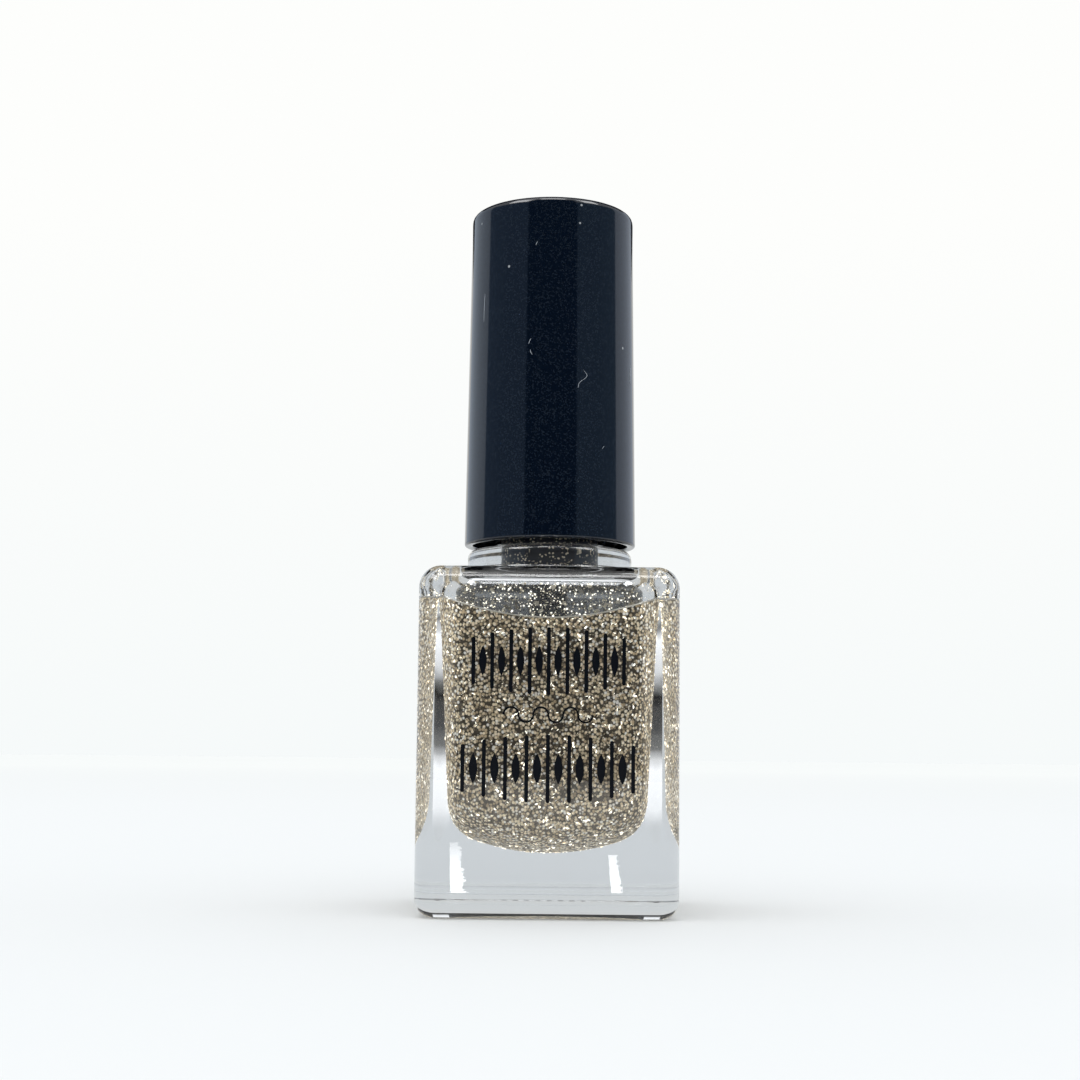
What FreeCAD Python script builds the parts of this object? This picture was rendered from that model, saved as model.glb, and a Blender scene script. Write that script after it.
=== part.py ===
import FreeCAD, Part
import math
import os

# A square glass nail polish bottle with a screw-on brush cap, in millimetres.
# The origin is the centre of the footprint, on the surface the bottle stands on.
# +Z is up and -Y is the decorated front.

# --- Glass body ---------------------------------------------------------------
BODY_SIDE = 25.0
BODY_CORNER_R = 2.2
BODY_HEIGHT = 33.35
SHOULDER_EDGE_R = 2.1
BASE_EDGE_R = 1.8
PUSH_UP_D = 18.0
PUSH_UP_DEPTH = 0.45

# --- Inside of the bottle -----------------------------------------------------
BASE_THICKNESS = 5.85
SHOULDER_THICKNESS = 1.2
WALL_AT_TOP = 1.9
WALL_AT_BASE = 3.2
CAVITY_CORNER_R = 4.2
CAVITY_CEILING_R = 1.4
CAVITY_FLOOR_R = 2.4
BOWL_R = 22.0
BORE_D = 6.4
HEADSPACE = 2.9

# --- Collar and 13-415 neck finish --------------------------------------------
COLLAR_INSET = 0.35
COLLAR_HEIGHT = 2.6
COLLAR_EDGE_R = 0.9
COLLAR_ROOT_R = 0.6
NECK_ROOT_D = 11.4
NECK_HEIGHT = 11.4
NECK_LIP_R = 0.5
THREAD_PITCH = 25.4 / 12
THREAD_TURNS = 1.5
THREAD_DEPTH = 0.75
THREAD_ROOT_WIDTH = 1.05
THREAD_CREST_WIDTH = 0.45
THREAD_BELOW_LIP = 1.7

# --- Cap ----------------------------------------------------------------------
CAP_RIM_GAP = 0.45
CAP_HEIGHT = 34.3
CAP_TAPER = 0.024
CAP_WALL = 0.85
CAP_TOP_THICKNESS = 1.2
CAP_TOP_EDGE_R = 0.7
CAP_RIM_EDGE_R = 0.25

# --- Threaded inner cap -------------------------------------------------------
INNER_CAP_RECESS = 1.3
INNER_CAP_WALL = 0.6
INNER_CAP_CEILING = 1.2
INNER_CAP_RIBS = 12
INNER_CAP_RIB_WIDTH = 0.8
INNER_CAP_RIB_DEPTH = 0.48
THREAD_CLEARANCE = 0.15

# --- Seal and brush -----------------------------------------------------------
LINER_THICKNESS = 0.9
FLANGE_THICKNESS = 1.0
SNAP_D = 4.3
SNAP_BEAD = 0.3
SNAP_BEAD_HEIGHT = 0.7
PLUG_LENGTH = 3.6
STEM_TOP_D = 3.8
STEM_TIP_D = 3.4
STEM_TIP_WALL = 0.2
BRISTLE_REACH = 13.6
BRISTLE_SOCKET = 3.2
BRISTLE_D = 0.22
BRISTLE_SPACING = 0.30
BRISTLE_RINGS = 4
BRISTLE_SPREAD = 1.45
BRISTLE_ROUNDING = 1.5
BRUSH_FLOOR_GAP = 2.2
STAPLE_WIRE_D = 0.4
FIT_CLEARANCE = 0.08
SOFT_CLEARANCE = 0.15

# --- Mixing balls -------------------------------------------------------------
BALL_D = 4.5
BALL_ANGLES = (205.0, 335.0)

# --- Decoration and label -----------------------------------------------------
PRINT_THICKNESS = 0.05
PRINT_STROKE = 0.36
PRINT_UPPER_WIDTH = 14.2
PRINT_LOWER_WIDTH = 16.0
PRINT_BARS = 9
PRINT_SHOULDER_MARGIN = 9.2
PRINT_ROW_PITCH = 10.1
PRINT_BAR_HEIGHT = 6.4
PRINT_BAR_TAPER = 0.3
PRINT_WAVES = 6
PRINT_WAVE_R = 0.7
PRINT_WAVE_STROKE = 0.18
LABEL_D = 16.4
LABEL_THICKNESS = 0.1

# --- Heights and radii that follow from the sizes above -----------------------
CAVITY_TOP_Z = BODY_HEIGHT - SHOULDER_THICKNESS
POLISH_LEVEL = CAVITY_TOP_Z - HEADSPACE
COLLAR_TOP_Z = BODY_HEIGHT + COLLAR_HEIGHT
LIP_Z = COLLAR_TOP_Z + NECK_HEIGHT
BOWL_CENTRE_Z = BASE_THICKNESS + BOWL_R
RIM_Z = COLLAR_TOP_Z + CAP_RIM_GAP
CAP_TOP_Z = RIM_Z + CAP_HEIGHT
LINER_TOP_Z = LIP_Z + LINER_THICKNESS
FLANGE_TOP_Z = LINER_TOP_Z + FLANGE_THICKNESS
INNER_CAP_TOP_Z = FLANGE_TOP_Z + INNER_CAP_CEILING
BRISTLE_TIP_Z = BASE_THICKNESS + BRUSH_FLOOR_GAP
STEM_TIP_Z = BRISTLE_TIP_Z + BRISTLE_REACH
BRISTLE_ROOT_Z = STEM_TIP_Z + BRISTLE_SOCKET

THREAD_TOP_Z = LIP_Z - THREAD_BELOW_LIP
THREAD_START_Z = THREAD_TOP_Z - THREAD_TURNS * THREAD_PITCH
THREAD_CREST_R = NECK_ROOT_D / 2 + THREAD_DEPTH
CAP_THREAD_TIP_R = NECK_ROOT_D / 2 + THREAD_CLEARANCE
CAP_THREAD_ROOT_R = THREAD_CREST_R + THREAD_CLEARANCE
INNER_CAP_R = CAP_THREAD_ROOT_R + INNER_CAP_WALL
SEAL_R = CAP_THREAD_TIP_R - SOFT_CLEARANCE
BRISTLE_BUNDLE_R = BRISTLE_RINGS * BRISTLE_SPACING + BRISTLE_D / 2

CAP_FIT_R = INNER_CAP_R + INNER_CAP_RIB_DEPTH + CAP_WALL
CAP_RIM_D = 2 * CAP_FIT_R + CAP_TAPER * (INNER_CAP_TOP_Z - RIM_Z)
CAP_TOP_D = CAP_RIM_D - CAP_TAPER * CAP_HEIGHT
COLLAR_D = CAP_RIM_D - 2 * COLLAR_INSET
PRINT_UPPER_Z = BODY_HEIGHT - PRINT_SHOULDER_MARGIN
PRINT_LOWER_Z = PRINT_UPPER_Z - PRINT_ROW_PITCH

AXIS = FreeCAD.Vector(0, 0, 1)
CENTRE = FreeCAD.Vector(0, 0, 0)


def point(x, y, z):
    return FreeCAD.Vector(x, y, z)


def revolved(outline):
    """A closed (radius, height) outline turned once about the bottle's axis."""
    corners = [point(r, 0, z) for r, z in outline]
    corners.append(corners[0])
    face = Part.Face(Part.makePolygon(corners))
    return face.revolve(CENTRE, AXIS, 360)


def rounded_square(side, corner_r, z):
    """A wire with four straight sides and four quarter-circle corners."""
    half = side / 2
    inner = half - corner_r
    edges = []
    for quarter in range(4):
        turn = FreeCAD.Rotation(AXIS, 90 * quarter)
        start = turn.multVec(point(half, -inner, z))
        end = turn.multVec(point(half, inner, z))
        diagonal = inner + corner_r * math.sqrt(0.5)
        middle = turn.multVec(point(diagonal, diagonal, z))
        corner_end = turn.multVec(point(inner, half, z))
        edges.append(Part.LineSegment(start, end).toShape())
        edges.append(Part.Arc(end, middle, corner_end).toShape())
    return Part.Wire(edges)


def edges_at_height(shape, z, reach):
    """Edges that lie wholly in the plane z, further than reach from the axis."""
    found = []
    for edge in shape.Edges:
        box = edge.BoundBox
        flat = abs(box.ZMin - z) < 1e-4 and abs(box.ZMax - z) < 1e-4
        if flat and math.hypot(*edge.valueAt(edge.FirstParameter)[:2]) > reach:
            found.append(edge)
    return found


def thread_ridge(root_r, crest_r, start_z, turns):
    """A right-hand helical ridge of trapezoid section that rises from root_r to crest_r."""
    helix = Part.makeHelix(THREAD_PITCH, turns * THREAD_PITCH, root_r)
    helix.translate(point(0, 0, start_z))
    outline = [
        point(root_r, 0, start_z - THREAD_ROOT_WIDTH / 2),
        point(crest_r, 0, start_z - THREAD_CREST_WIDTH / 2),
        point(crest_r, 0, start_z + THREAD_CREST_WIDTH / 2),
        point(root_r, 0, start_z + THREAD_ROOT_WIDTH / 2),
    ]
    profile = Part.makePolygon(outline + outline[:1])
    return Part.Wire(helix.Edges).makePipeShell([profile], True, True)


# --- Glass bottle and what lies in it -----------------------------------------
def cavity():
    """The space inside the bottle up to its ceiling: tapered sides and a bowl for a floor."""
    bottom_side = BODY_SIDE - 2 * WALL_AT_BASE
    top_side = BODY_SIDE - 2 * WALL_AT_TOP
    low = rounded_square(bottom_side, CAVITY_CORNER_R, BASE_THICKNESS - 1)
    high = rounded_square(top_side, CAVITY_CORNER_R, CAVITY_TOP_Z)
    space = Part.makeLoft([low, high], True, True)
    space = space.makeFillet(CAVITY_CEILING_R, edges_at_height(space, CAVITY_TOP_Z, 1))
    bowl = Part.makeSphere(BOWL_R, point(0, 0, BOWL_CENTRE_Z))
    space = space.common(bowl)
    floor_edges = [e for e in space.Edges if bounds_bowl(e)]
    return space.makeFillet(CAVITY_FLOOR_R, floor_edges)


def bounds_bowl(edge):
    """True for an edge on the bowl, low in the cavity and away from its axis."""
    middle = edge.valueAt((edge.FirstParameter + edge.LastParameter) / 2)
    on_bowl = abs(middle.distanceToPoint(point(0, 0, BOWL_CENTRE_Z)) - BOWL_R) < 1e-3
    low = middle.z < BOWL_CENTRE_Z - BOWL_R / 2
    return on_bowl and low and math.hypot(middle.x, middle.y) > BALL_D


def bottle(space):
    """The thick-walled glass body with its shoulder, collar and threaded neck."""
    base = Part.Face(rounded_square(BODY_SIDE, BODY_CORNER_R, 0))
    glass = base.extrude(point(0, 0, BODY_HEIGHT))
    glass = glass.makeFillet(SHOULDER_EDGE_R, edges_at_height(glass, BODY_HEIGHT, 1))
    glass = glass.makeFillet(BASE_EDGE_R, edges_at_height(glass, 0, 1))
    collar = Part.makeCylinder(COLLAR_D / 2, COLLAR_HEIGHT + 1, point(0, 0, BODY_HEIGHT - 1))
    collar = collar.makeFillet(COLLAR_EDGE_R, edges_at_height(collar, COLLAR_TOP_Z, 1))
    glass = glass.fuse(collar)
    glass = glass.makeFillet(COLLAR_ROOT_R, collar_root(glass))
    neck_height = LIP_Z - COLLAR_TOP_Z + 1
    neck = Part.makeCylinder(NECK_ROOT_D / 2, neck_height, point(0, 0, COLLAR_TOP_Z - 1))
    neck = neck.makeFillet(NECK_LIP_R, edges_at_height(neck, LIP_Z, 1))
    ridge = thread_ridge(NECK_ROOT_D / 2 - 0.2, THREAD_CREST_R, THREAD_START_Z, THREAD_TURNS)
    glass = glass.fuse(neck).fuse(ridge)
    bore = Part.makeCylinder(BORE_D / 2, LIP_Z, point(0, 0, CAVITY_TOP_Z - BORE_D / 2))
    push_up = Part.makeCone(PUSH_UP_D / 2, PUSH_UP_D / 2 - PUSH_UP_DEPTH, PUSH_UP_DEPTH)
    return glass.cut(space).cut(bore).cut(push_up).removeSplitter()


def collar_root(glass):
    """The circle where the collar stands on the shoulder."""
    flat = edges_at_height(glass, BODY_HEIGHT, 1)
    return [e for e in flat if math.hypot(*e.valueAt(e.FirstParameter)[:2]) < COLLAR_D / 2 + 0.01]


def ball_centres():
    """Balls lie on the bowl and lean towards the bristles."""
    widest = max(bristle_radius(BRISTLE_TIP_Z), stem_radius(CAVITY_TOP_Z))
    lean = widest + SOFT_CLEARANCE + BALL_D / 2
    drop = BOWL_R - BALL_D / 2 - FIT_CLEARANCE
    z = BOWL_CENTRE_Z - math.sqrt(drop ** 2 - lean ** 2)
    places = []
    for angle in BALL_ANGLES:
        a = math.radians(angle)
        places.append(point(lean * math.cos(a), lean * math.sin(a), z))
    return places


def mixing_ball(centre):
    return Part.makeSphere(BALL_D / 2, centre)


def polish(space):
    """The polish fills the cavity to its level, around the brush and the balls."""
    half = BODY_SIDE / 2
    below = Part.makeBox(BODY_SIDE, BODY_SIDE, POLISH_LEVEL, point(-half, -half, 0))
    liquid = space.common(below)
    brush_room = revolved([
        (0, BRISTLE_TIP_Z - SOFT_CLEARANCE),
        (bristle_radius(BRISTLE_TIP_Z) + SOFT_CLEARANCE, BRISTLE_TIP_Z - SOFT_CLEARANCE),
        (bristle_radius(STEM_TIP_Z) + SOFT_CLEARANCE, STEM_TIP_Z - SOFT_CLEARANCE),
        (STEM_TOP_D / 2 + SOFT_CLEARANCE, STEM_TIP_Z - SOFT_CLEARANCE),
        (STEM_TOP_D / 2 + SOFT_CLEARANCE, POLISH_LEVEL + 1),
        (0, POLISH_LEVEL + 1),
    ])
    liquid = liquid.cut(brush_room)
    for centre in ball_centres():
        liquid = liquid.cut(Part.makeSphere(BALL_D / 2 + FIT_CLEARANCE / 2, centre))
    return liquid


# --- Cap ----------------------------------------------------------------------
def cap_radius(z):
    """Outer radius of the tapered cap at height z."""
    share = (z - RIM_Z) / CAP_HEIGHT
    return (CAP_RIM_D + share * (CAP_TOP_D - CAP_RIM_D)) / 2


def cap_inside():
    """The hollow of the outer cap, a cone parallel to its outside."""
    height = CAP_HEIGHT - CAP_TOP_THICKNESS
    low_r = cap_radius(RIM_Z) - CAP_WALL
    high_r = cap_radius(RIM_Z + height) - CAP_WALL
    return Part.makeCone(low_r, high_r, height, point(0, 0, RIM_Z))


def overcap():
    """The tall glossy outer cap, a tapered shell closed at the top."""
    shell = Part.makeCone(CAP_RIM_D / 2, CAP_TOP_D / 2, CAP_HEIGHT, point(0, 0, RIM_Z))
    shell = shell.makeFillet(CAP_TOP_EDGE_R, edges_at_height(shell, CAP_TOP_Z, 1))
    shell = shell.cut(cap_inside())
    return shell.makeFillet(CAP_RIM_EDGE_R, edges_at_height(shell, RIM_Z, 1))


def inner_cap():
    """The threaded closure inside the outer cap, held in it by its ribs."""
    bottom_z = RIM_Z + INNER_CAP_RECESS
    height = INNER_CAP_TOP_Z - bottom_z
    wall = Part.makeCylinder(INNER_CAP_R, height, point(0, 0, bottom_z))
    ribs = []
    for n in range(INNER_CAP_RIBS):
        rib = Part.makeBox(CAP_RIM_D / 2, INNER_CAP_RIB_WIDTH, height)
        rib.translate(point(0, -INNER_CAP_RIB_WIDTH / 2, bottom_z))
        rib.rotate(CENTRE, AXIS, 360 * n / INNER_CAP_RIBS)
        ribs.append(rib.common(cap_inside()))
    closure = wall.multiFuse(ribs)
    room = Part.makeCylinder(CAP_THREAD_ROOT_R, FLANGE_TOP_Z - bottom_z, point(0, 0, bottom_z))
    snap_hole = Part.makeCylinder(SNAP_D / 2 + FIT_CLEARANCE, INNER_CAP_TOP_Z)
    closure = closure.cut(room).cut(snap_hole)
    start_z = THREAD_START_Z - THREAD_PITCH / 2
    ridge = thread_ridge(CAP_THREAD_ROOT_R + 0.2, CAP_THREAD_TIP_R, start_z, THREAD_TURNS)
    return closure.fuse(ridge).removeSplitter()


# --- Seal and brush -----------------------------------------------------------
def seal_liner():
    """The soft washer squeezed between the lip of the neck and the stem's flange."""
    disc = Part.makeCylinder(SEAL_R, LINER_THICKNESS, point(0, 0, LIP_Z))
    return disc.cut(Part.makeCylinder(BORE_D / 2, CAP_TOP_Z))


def stem_radius(z):
    """Radius of the tapered stem between the foot of its plug and its tip."""
    top_z = LIP_Z - PLUG_LENGTH
    share = (z - STEM_TIP_Z) / (top_z - STEM_TIP_Z)
    return (STEM_TIP_D + share * (STEM_TOP_D - STEM_TIP_D)) / 2


def brush_stem():
    """The moulded stem: snap button, flange, sealing plug, tapered shaft and bristle socket."""
    plug_r = BORE_D / 2 - FIT_CLEARANCE
    plug_foot_z = LIP_Z - PLUG_LENGTH
    bead_z = INNER_CAP_TOP_Z + FIT_CLEARANCE
    bead_top_z = bead_z + SNAP_BEAD_HEIGHT
    stem = revolved([
        (0, STEM_TIP_Z),
        (STEM_TIP_D / 2, STEM_TIP_Z),
        (STEM_TOP_D / 2, plug_foot_z - 1),
        (plug_r, plug_foot_z),
        (plug_r, LINER_TOP_Z),
        (SEAL_R, LINER_TOP_Z),
        (SEAL_R, FLANGE_TOP_Z),
        (SNAP_D / 2, FLANGE_TOP_Z),
        (SNAP_D / 2, bead_z),
        (SNAP_D / 2 + SNAP_BEAD, bead_z),
        (SNAP_D / 2 - SNAP_BEAD, bead_top_z),
        (0, bead_top_z),
    ])
    socket_r = STEM_TIP_D / 2 - STEM_TIP_WALL
    depth = BRISTLE_SOCKET + STAPLE_WIRE_D
    socket = Part.makeCylinder(socket_r, depth, point(0, 0, STEM_TIP_Z))
    return stem.cut(socket).cut(brush_staple())


def brush_staple():
    """The wire across the socket that the folded bristles hang on."""
    z = BRISTLE_ROOT_Z + STAPLE_WIRE_D / 2
    half = stem_radius(z) - STEM_TIP_WALL / 4
    return Part.makeCylinder(STAPLE_WIRE_D / 2, 2 * half, point(-half, 0, z), point(1, 0, 0))


def bristle_radius(z):
    """Radius of the bristle bundle, which spreads evenly towards its tips."""
    share = (BRISTLE_ROOT_Z - z) / (BRISTLE_ROOT_Z - BRISTLE_TIP_Z)
    return BRISTLE_BUNDLE_R * (1 + share * (BRISTLE_SPREAD - 1))


def bristle_places():
    """Centres of a six-sided close-packed bundle of bristles."""
    places = []
    for row in range(-BRISTLE_RINGS, BRISTLE_RINGS + 1):
        count = 2 * BRISTLE_RINGS + 1 - abs(row)
        for column in range(count):
            x = (column - (count - 1) / 2) * BRISTLE_SPACING
            y = row * BRISTLE_SPACING * math.sqrt(0.75)
            places.append((x, y))
    return places


def bristles():
    """One round filament for each place, the outer ones cut shorter to a rounded tip."""
    filaments = []
    for x, y in bristle_places():
        share = math.hypot(x, y) / BRISTLE_BUNDLE_R
        tip_z = BRISTLE_TIP_Z + BRISTLE_ROUNDING * share ** 2
        spread = bristle_radius(tip_z) / BRISTLE_BUNDLE_R
        root = point(x, y, BRISTLE_ROOT_Z)
        run = point(x * spread, y * spread, tip_z) - root
        filaments.append(Part.makeCylinder(BRISTLE_D / 2, run.Length, root, run))
    return Part.makeCompound(filaments)


# --- Decoration and label -----------------------------------------------------
def bar(x, z, height):
    """An upright stroke with round ends, standing on the front of the glass."""
    r = PRINT_STROKE / 2
    reach = height / 2 - r
    sides = [
        Part.LineSegment(point(x + r, 0, z - reach), point(x + r, 0, z + reach)).toShape(),
        Part.Arc(
            point(x + r, 0, z + reach),
            point(x, 0, z + reach + r),
            point(x - r, 0, z + reach),
        ).toShape(),
        Part.LineSegment(point(x - r, 0, z + reach), point(x - r, 0, z - reach)).toShape(),
        Part.Arc(
            point(x - r, 0, z - reach),
            point(x, 0, z - reach - r),
            point(x + r, 0, z - reach),
        ).toShape(),
    ]
    return on_front(Part.Wire(sides))


def leaf(x, z, width, height):
    """A slim pointed leaf made of two arcs."""
    top = point(x, 0, z + height / 2)
    foot = point(x, 0, z - height / 2)
    sides = [
        Part.Arc(foot, point(x + width / 2, 0, z), top).toShape(),
        Part.Arc(top, point(x - width / 2, 0, z), foot).toShape(),
    ]
    return on_front(Part.Wire(sides))


def on_front(wire):
    """A closed outline in the XZ plane made into ink on the front face."""
    ink = Part.Face(wire).extrude(point(0, -PRINT_THICKNESS, 0))
    ink.translate(point(0, -BODY_SIDE / 2, 0))
    return ink


def half_ring(x, z, up):
    """A thin half ring that opens downwards when up is 1 and upwards when it is -1."""
    outer = PRINT_WAVE_R + PRINT_WAVE_STROKE / 2
    inner = PRINT_WAVE_R - PRINT_WAVE_STROKE / 2
    sides = [
        Part.Arc(point(x - outer, 0, z), point(x, 0, z + up * outer), point(x + outer, 0, z)).toShape(),
        Part.LineSegment(point(x + outer, 0, z), point(x + inner, 0, z)).toShape(),
        Part.Arc(point(x + inner, 0, z), point(x, 0, z + up * inner), point(x - inner, 0, z)).toShape(),
        Part.LineSegment(point(x - inner, 0, z), point(x - outer, 0, z)).toShape(),
    ]
    return on_front(Part.Wire(sides))


def frieze(z, width):
    """Upright strokes that shorten towards both ends, with a slim leaf between each two."""
    pitch = width / (PRINT_BARS - 1)
    ink = []
    for n in range(PRINT_BARS):
        x = n * pitch - width / 2
        shortening = PRINT_BAR_TAPER * (2 * x / width) ** 2
        ink.append(bar(x, z, PRINT_BAR_HEIGHT * (1 - shortening)))
    for n in range(PRINT_BARS - 1):
        x = (n + 0.5) * pitch - width / 2
        ink.append(leaf(x, z, pitch * 0.4, PRINT_BAR_HEIGHT * 0.45))
    return ink


def front_print():
    """Two friezes of strokes and leaves with a fine wave between them."""
    ink = frieze(PRINT_UPPER_Z, PRINT_UPPER_WIDTH) + frieze(PRINT_LOWER_Z, PRINT_LOWER_WIDTH)
    middle_z = (PRINT_UPPER_Z + PRINT_LOWER_Z) / 2
    rings = []
    for n in range(PRINT_WAVES):
        x = (2 * n - PRINT_WAVES + 1) * PRINT_WAVE_R
        rings.append(half_ring(x, middle_z, (-1) ** n))
    ink.append(rings[0].multiFuse(rings[1:]).removeSplitter())
    return Part.makeCompound(ink)


def bottom_label():
    """A plain round sticker on the recessed bottom of the glass."""
    return Part.makeCylinder(LABEL_D / 2, LABEL_THICKNESS, point(0, 0, PUSH_UP_DEPTH - LABEL_THICKNESS))


def build():
    """Every node of the part, by name."""
    space = cavity()
    nodes = {
        "bottle": bottle(space),
        "polish": polish(space),
        "overcap": overcap(),
        "inner_cap": inner_cap(),
        "seal_liner": seal_liner(),
        "brush_stem": brush_stem(),
        "brush_staple": brush_staple(),
        "bristles": bristles(),
        "front_print": front_print(),
        "bottom_label": bottom_label(),
    }
    for n, centre in enumerate(ball_centres(), start=1):
        nodes[f"mixing_ball_{n}"] = mixing_ball(centre)
    return nodes


os.makedirs("parts", exist_ok=True)
for name, shape in build().items():
    shape.exportStep(f"parts/{name}.step")
    print(name, len(shape.Solids), "solids", round(shape.Volume, 3), "mm3", shape.isValid())
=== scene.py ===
import logging
import math
from dataclasses import dataclass, field
from enum import Enum
from typing import Any, Sequence

import bpy
import numpy as np
from mathutils import Euler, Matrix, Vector


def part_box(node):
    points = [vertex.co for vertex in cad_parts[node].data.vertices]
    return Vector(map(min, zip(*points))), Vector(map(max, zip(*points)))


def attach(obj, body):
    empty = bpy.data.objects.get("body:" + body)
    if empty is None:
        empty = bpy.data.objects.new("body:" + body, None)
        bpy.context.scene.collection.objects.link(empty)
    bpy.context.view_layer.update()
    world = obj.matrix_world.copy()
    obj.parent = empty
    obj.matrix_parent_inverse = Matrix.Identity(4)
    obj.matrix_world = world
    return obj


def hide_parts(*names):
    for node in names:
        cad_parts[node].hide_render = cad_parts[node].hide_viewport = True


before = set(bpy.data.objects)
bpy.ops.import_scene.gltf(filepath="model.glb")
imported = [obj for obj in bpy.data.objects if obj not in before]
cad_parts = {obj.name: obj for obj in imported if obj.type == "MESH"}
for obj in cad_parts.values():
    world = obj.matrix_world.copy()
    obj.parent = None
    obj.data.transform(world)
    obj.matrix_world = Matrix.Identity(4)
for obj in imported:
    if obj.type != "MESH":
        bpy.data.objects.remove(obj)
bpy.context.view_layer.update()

LOG = logging.getLogger("nail_polish_bottle")
MM = 0.001
POINT = tuple[float, float]
TRIPLE = tuple[float, float, float]
COLOUR = TRIPLE
BLACK = (0.0, 0.0, 0.0)
WHITE = (1.0, 1.0, 1.0)
SEGMENTS = 256
FLAKE_SIDES = 6
TUBE_SIDES = 5
THREAD_PITCH = 25.4 / 12 * MM
THREAD_TURNS = 1.5
RANDOM = np.random.default_rng(20)


class Body(Enum):
    """The moving bodies of the bottle, by their names in the model."""

    BOTTLE = "bottle_body"
    BALL_1 = "ball_1"
    BALL_2 = "ball_2"
    SEAL = "seal"
    BRUSH = "brush"
    CAP = "cap"


# --- Shapes ---------------------------------------------------------------------------------


def around(count: int, crowding: float = 0.0) -> np.ndarray:
    """Angles of one turn, crowded towards the four diagonals where rounded corners lie.

    The angle is t + crowding * sin(4 t) / 4, whose steps are shortest at odd multiples of 45 degrees.

    Args:
        count: How many angles.
        crowding: 0 for even steps, up to 0.8.

    Returns:
        The angles in radians.
    """
    t = np.arange(count) * 2 * math.pi / count
    return t + crowding * np.sin(4 * t) / 4


def rounded_reach(half: float | np.ndarray, corner: float | np.ndarray, angle: np.ndarray) -> np.ndarray:
    """Distance from the centre to the edge of a rounded square, along each angle.

    On a side it is half / cos(a); round a corner it is the far root of the line's meeting with the
    corner's circle, whose centre lies at (half - corner, half - corner).

    Args:
        half: Half the side of the square.
        corner: Radius of its corners; equal to half, the square is a circle.
        angle: Directions in radians.

    Returns:
        The distances, one for each angle.
    """
    a = np.mod(angle + math.pi / 4, math.pi / 2) - math.pi / 4
    a = np.abs(a)
    inner = half - corner
    side = half / np.cos(a)
    along = inner * (np.cos(a) + np.sin(a))
    arc = along + np.sqrt(np.maximum(along**2 - 2 * inner**2 + corner**2, 0.0))
    return np.where(half * np.tan(a) <= inner, side, arc)


def ring(reach: np.ndarray | float, z: np.ndarray | float, angle: np.ndarray) -> np.ndarray:
    """One closed ring of points: (reach cos a, reach sin a, z)."""
    reach = np.broadcast_to(reach, angle.shape)
    return np.stack([reach * np.cos(angle), reach * np.sin(angle), np.broadcast_to(z, angle.shape)], axis=1)


def quarter(count: int) -> np.ndarray:
    """Angles from 0 to 90 degrees, for a rounded edge."""
    return np.linspace(0.0, math.pi / 2, count)


def surface_mesh(
    name: str, rings: np.ndarray, start_pole: bool, end_pole: bool, closed: bool = False
) -> bpy.types.Object:
    """A skin over a stack of rings, with a single vertex at each end that is a pole.

    The rings run so that the skin's outside is on the right of their path, seen with the axis to the
    left: upwards along an outer wall, downwards along an inner one.

    Args:
        name: The piece's name.
        rings: Points as (ring, place in the ring, xyz).
        start_pole: Close the first ring with a vertex at its mean.
        end_pole: Close the last ring in the same way.
        closed: Join the last ring to the first.

    Returns:
        The new object, shaded smooth.
    """
    rows, count, _ = rings.shape
    index = np.arange(rows * count).reshape(rows, count)
    if closed:
        index = np.vstack([index, index[:1]])
    low, high = index[:-1], index[1:]
    quads = np.stack([low, np.roll(low, -1, 1), np.roll(high, -1, 1), high], axis=2).reshape(-1, 4)
    points = rings.reshape(-1, 3)
    loops = [quads]
    if start_pole:
        points = np.vstack([points, rings[0].mean(0)])
        first = index[0]
        loops.append(np.stack([np.roll(first, -1), first, np.full(count, len(points) - 1)], axis=1))
    if end_pole:
        points = np.vstack([points, rings[-1].mean(0)])
        last = index[-1]
        loops.append(np.stack([last, np.roll(last, -1), np.full(count, len(points) - 1)], axis=1))
    return mesh_object(name, points, loops)


def mesh_object(
    name: str, points: np.ndarray, loops: Sequence[np.ndarray], smooth: bool = True
) -> bpy.types.Object:
    """An object in the scene made of arrays of faces that share one array of points.

    Args:
        name: The piece's name.
        points: Vertices as (n, 3).
        loops: Arrays of faces, each (faces, corners).
        smooth: Shade the faces smooth.

    Returns:
        The new object.
    """
    mesh = bpy.data.meshes.new(name)
    corners = np.concatenate([f.ravel() for f in loops]).astype(np.int32)
    totals = np.concatenate([np.full(len(f), f.shape[1], np.int32) for f in loops])
    starts = np.concatenate([[0], np.cumsum(totals)[:-1]]).astype(np.int32)
    mesh.vertices.add(len(points))
    mesh.vertices.foreach_set("co", points.astype(np.float32).ravel())
    mesh.loops.add(len(corners))
    mesh.loops.foreach_set("vertex_index", corners)
    mesh.polygons.add(len(totals))
    mesh.polygons.foreach_set("loop_start", starts)
    mesh.polygons.foreach_set("loop_total", totals)
    mesh.polygons.foreach_set("use_smooth", np.full(len(totals), smooth))
    mesh.update(calc_edges=True)
    mesh.validate()
    piece = bpy.data.objects.new(name, mesh)
    bpy.context.scene.collection.objects.link(piece)
    return piece


def give_attribute(piece: bpy.types.Object, name: str, values: np.ndarray) -> None:
    """Stores one number for each face of a piece."""
    layer = piece.data.attributes.new(name, "FLOAT", "FACE")
    layer.data.foreach_set("value", values.astype(np.float32))


def lathe(name: str, outline: Sequence[POINT], count: int, closed: bool = False) -> bpy.types.Object:
    """An outline of (radius, height) turned about the Z axis.

    Args:
        name: The piece's name.
        outline: Points in metres, from the bottom up along the outside.
        count: Steps round the axis.
        closed: Join the outline's end to its start, for a ring such as a washer.

    Returns:
        The new object.
    """
    angle = around(count)
    rings = np.stack([ring(max(r, 1e-6), z, angle) for r, z in outline])
    return surface_mesh(name, rings, not closed, not closed, closed)


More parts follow.
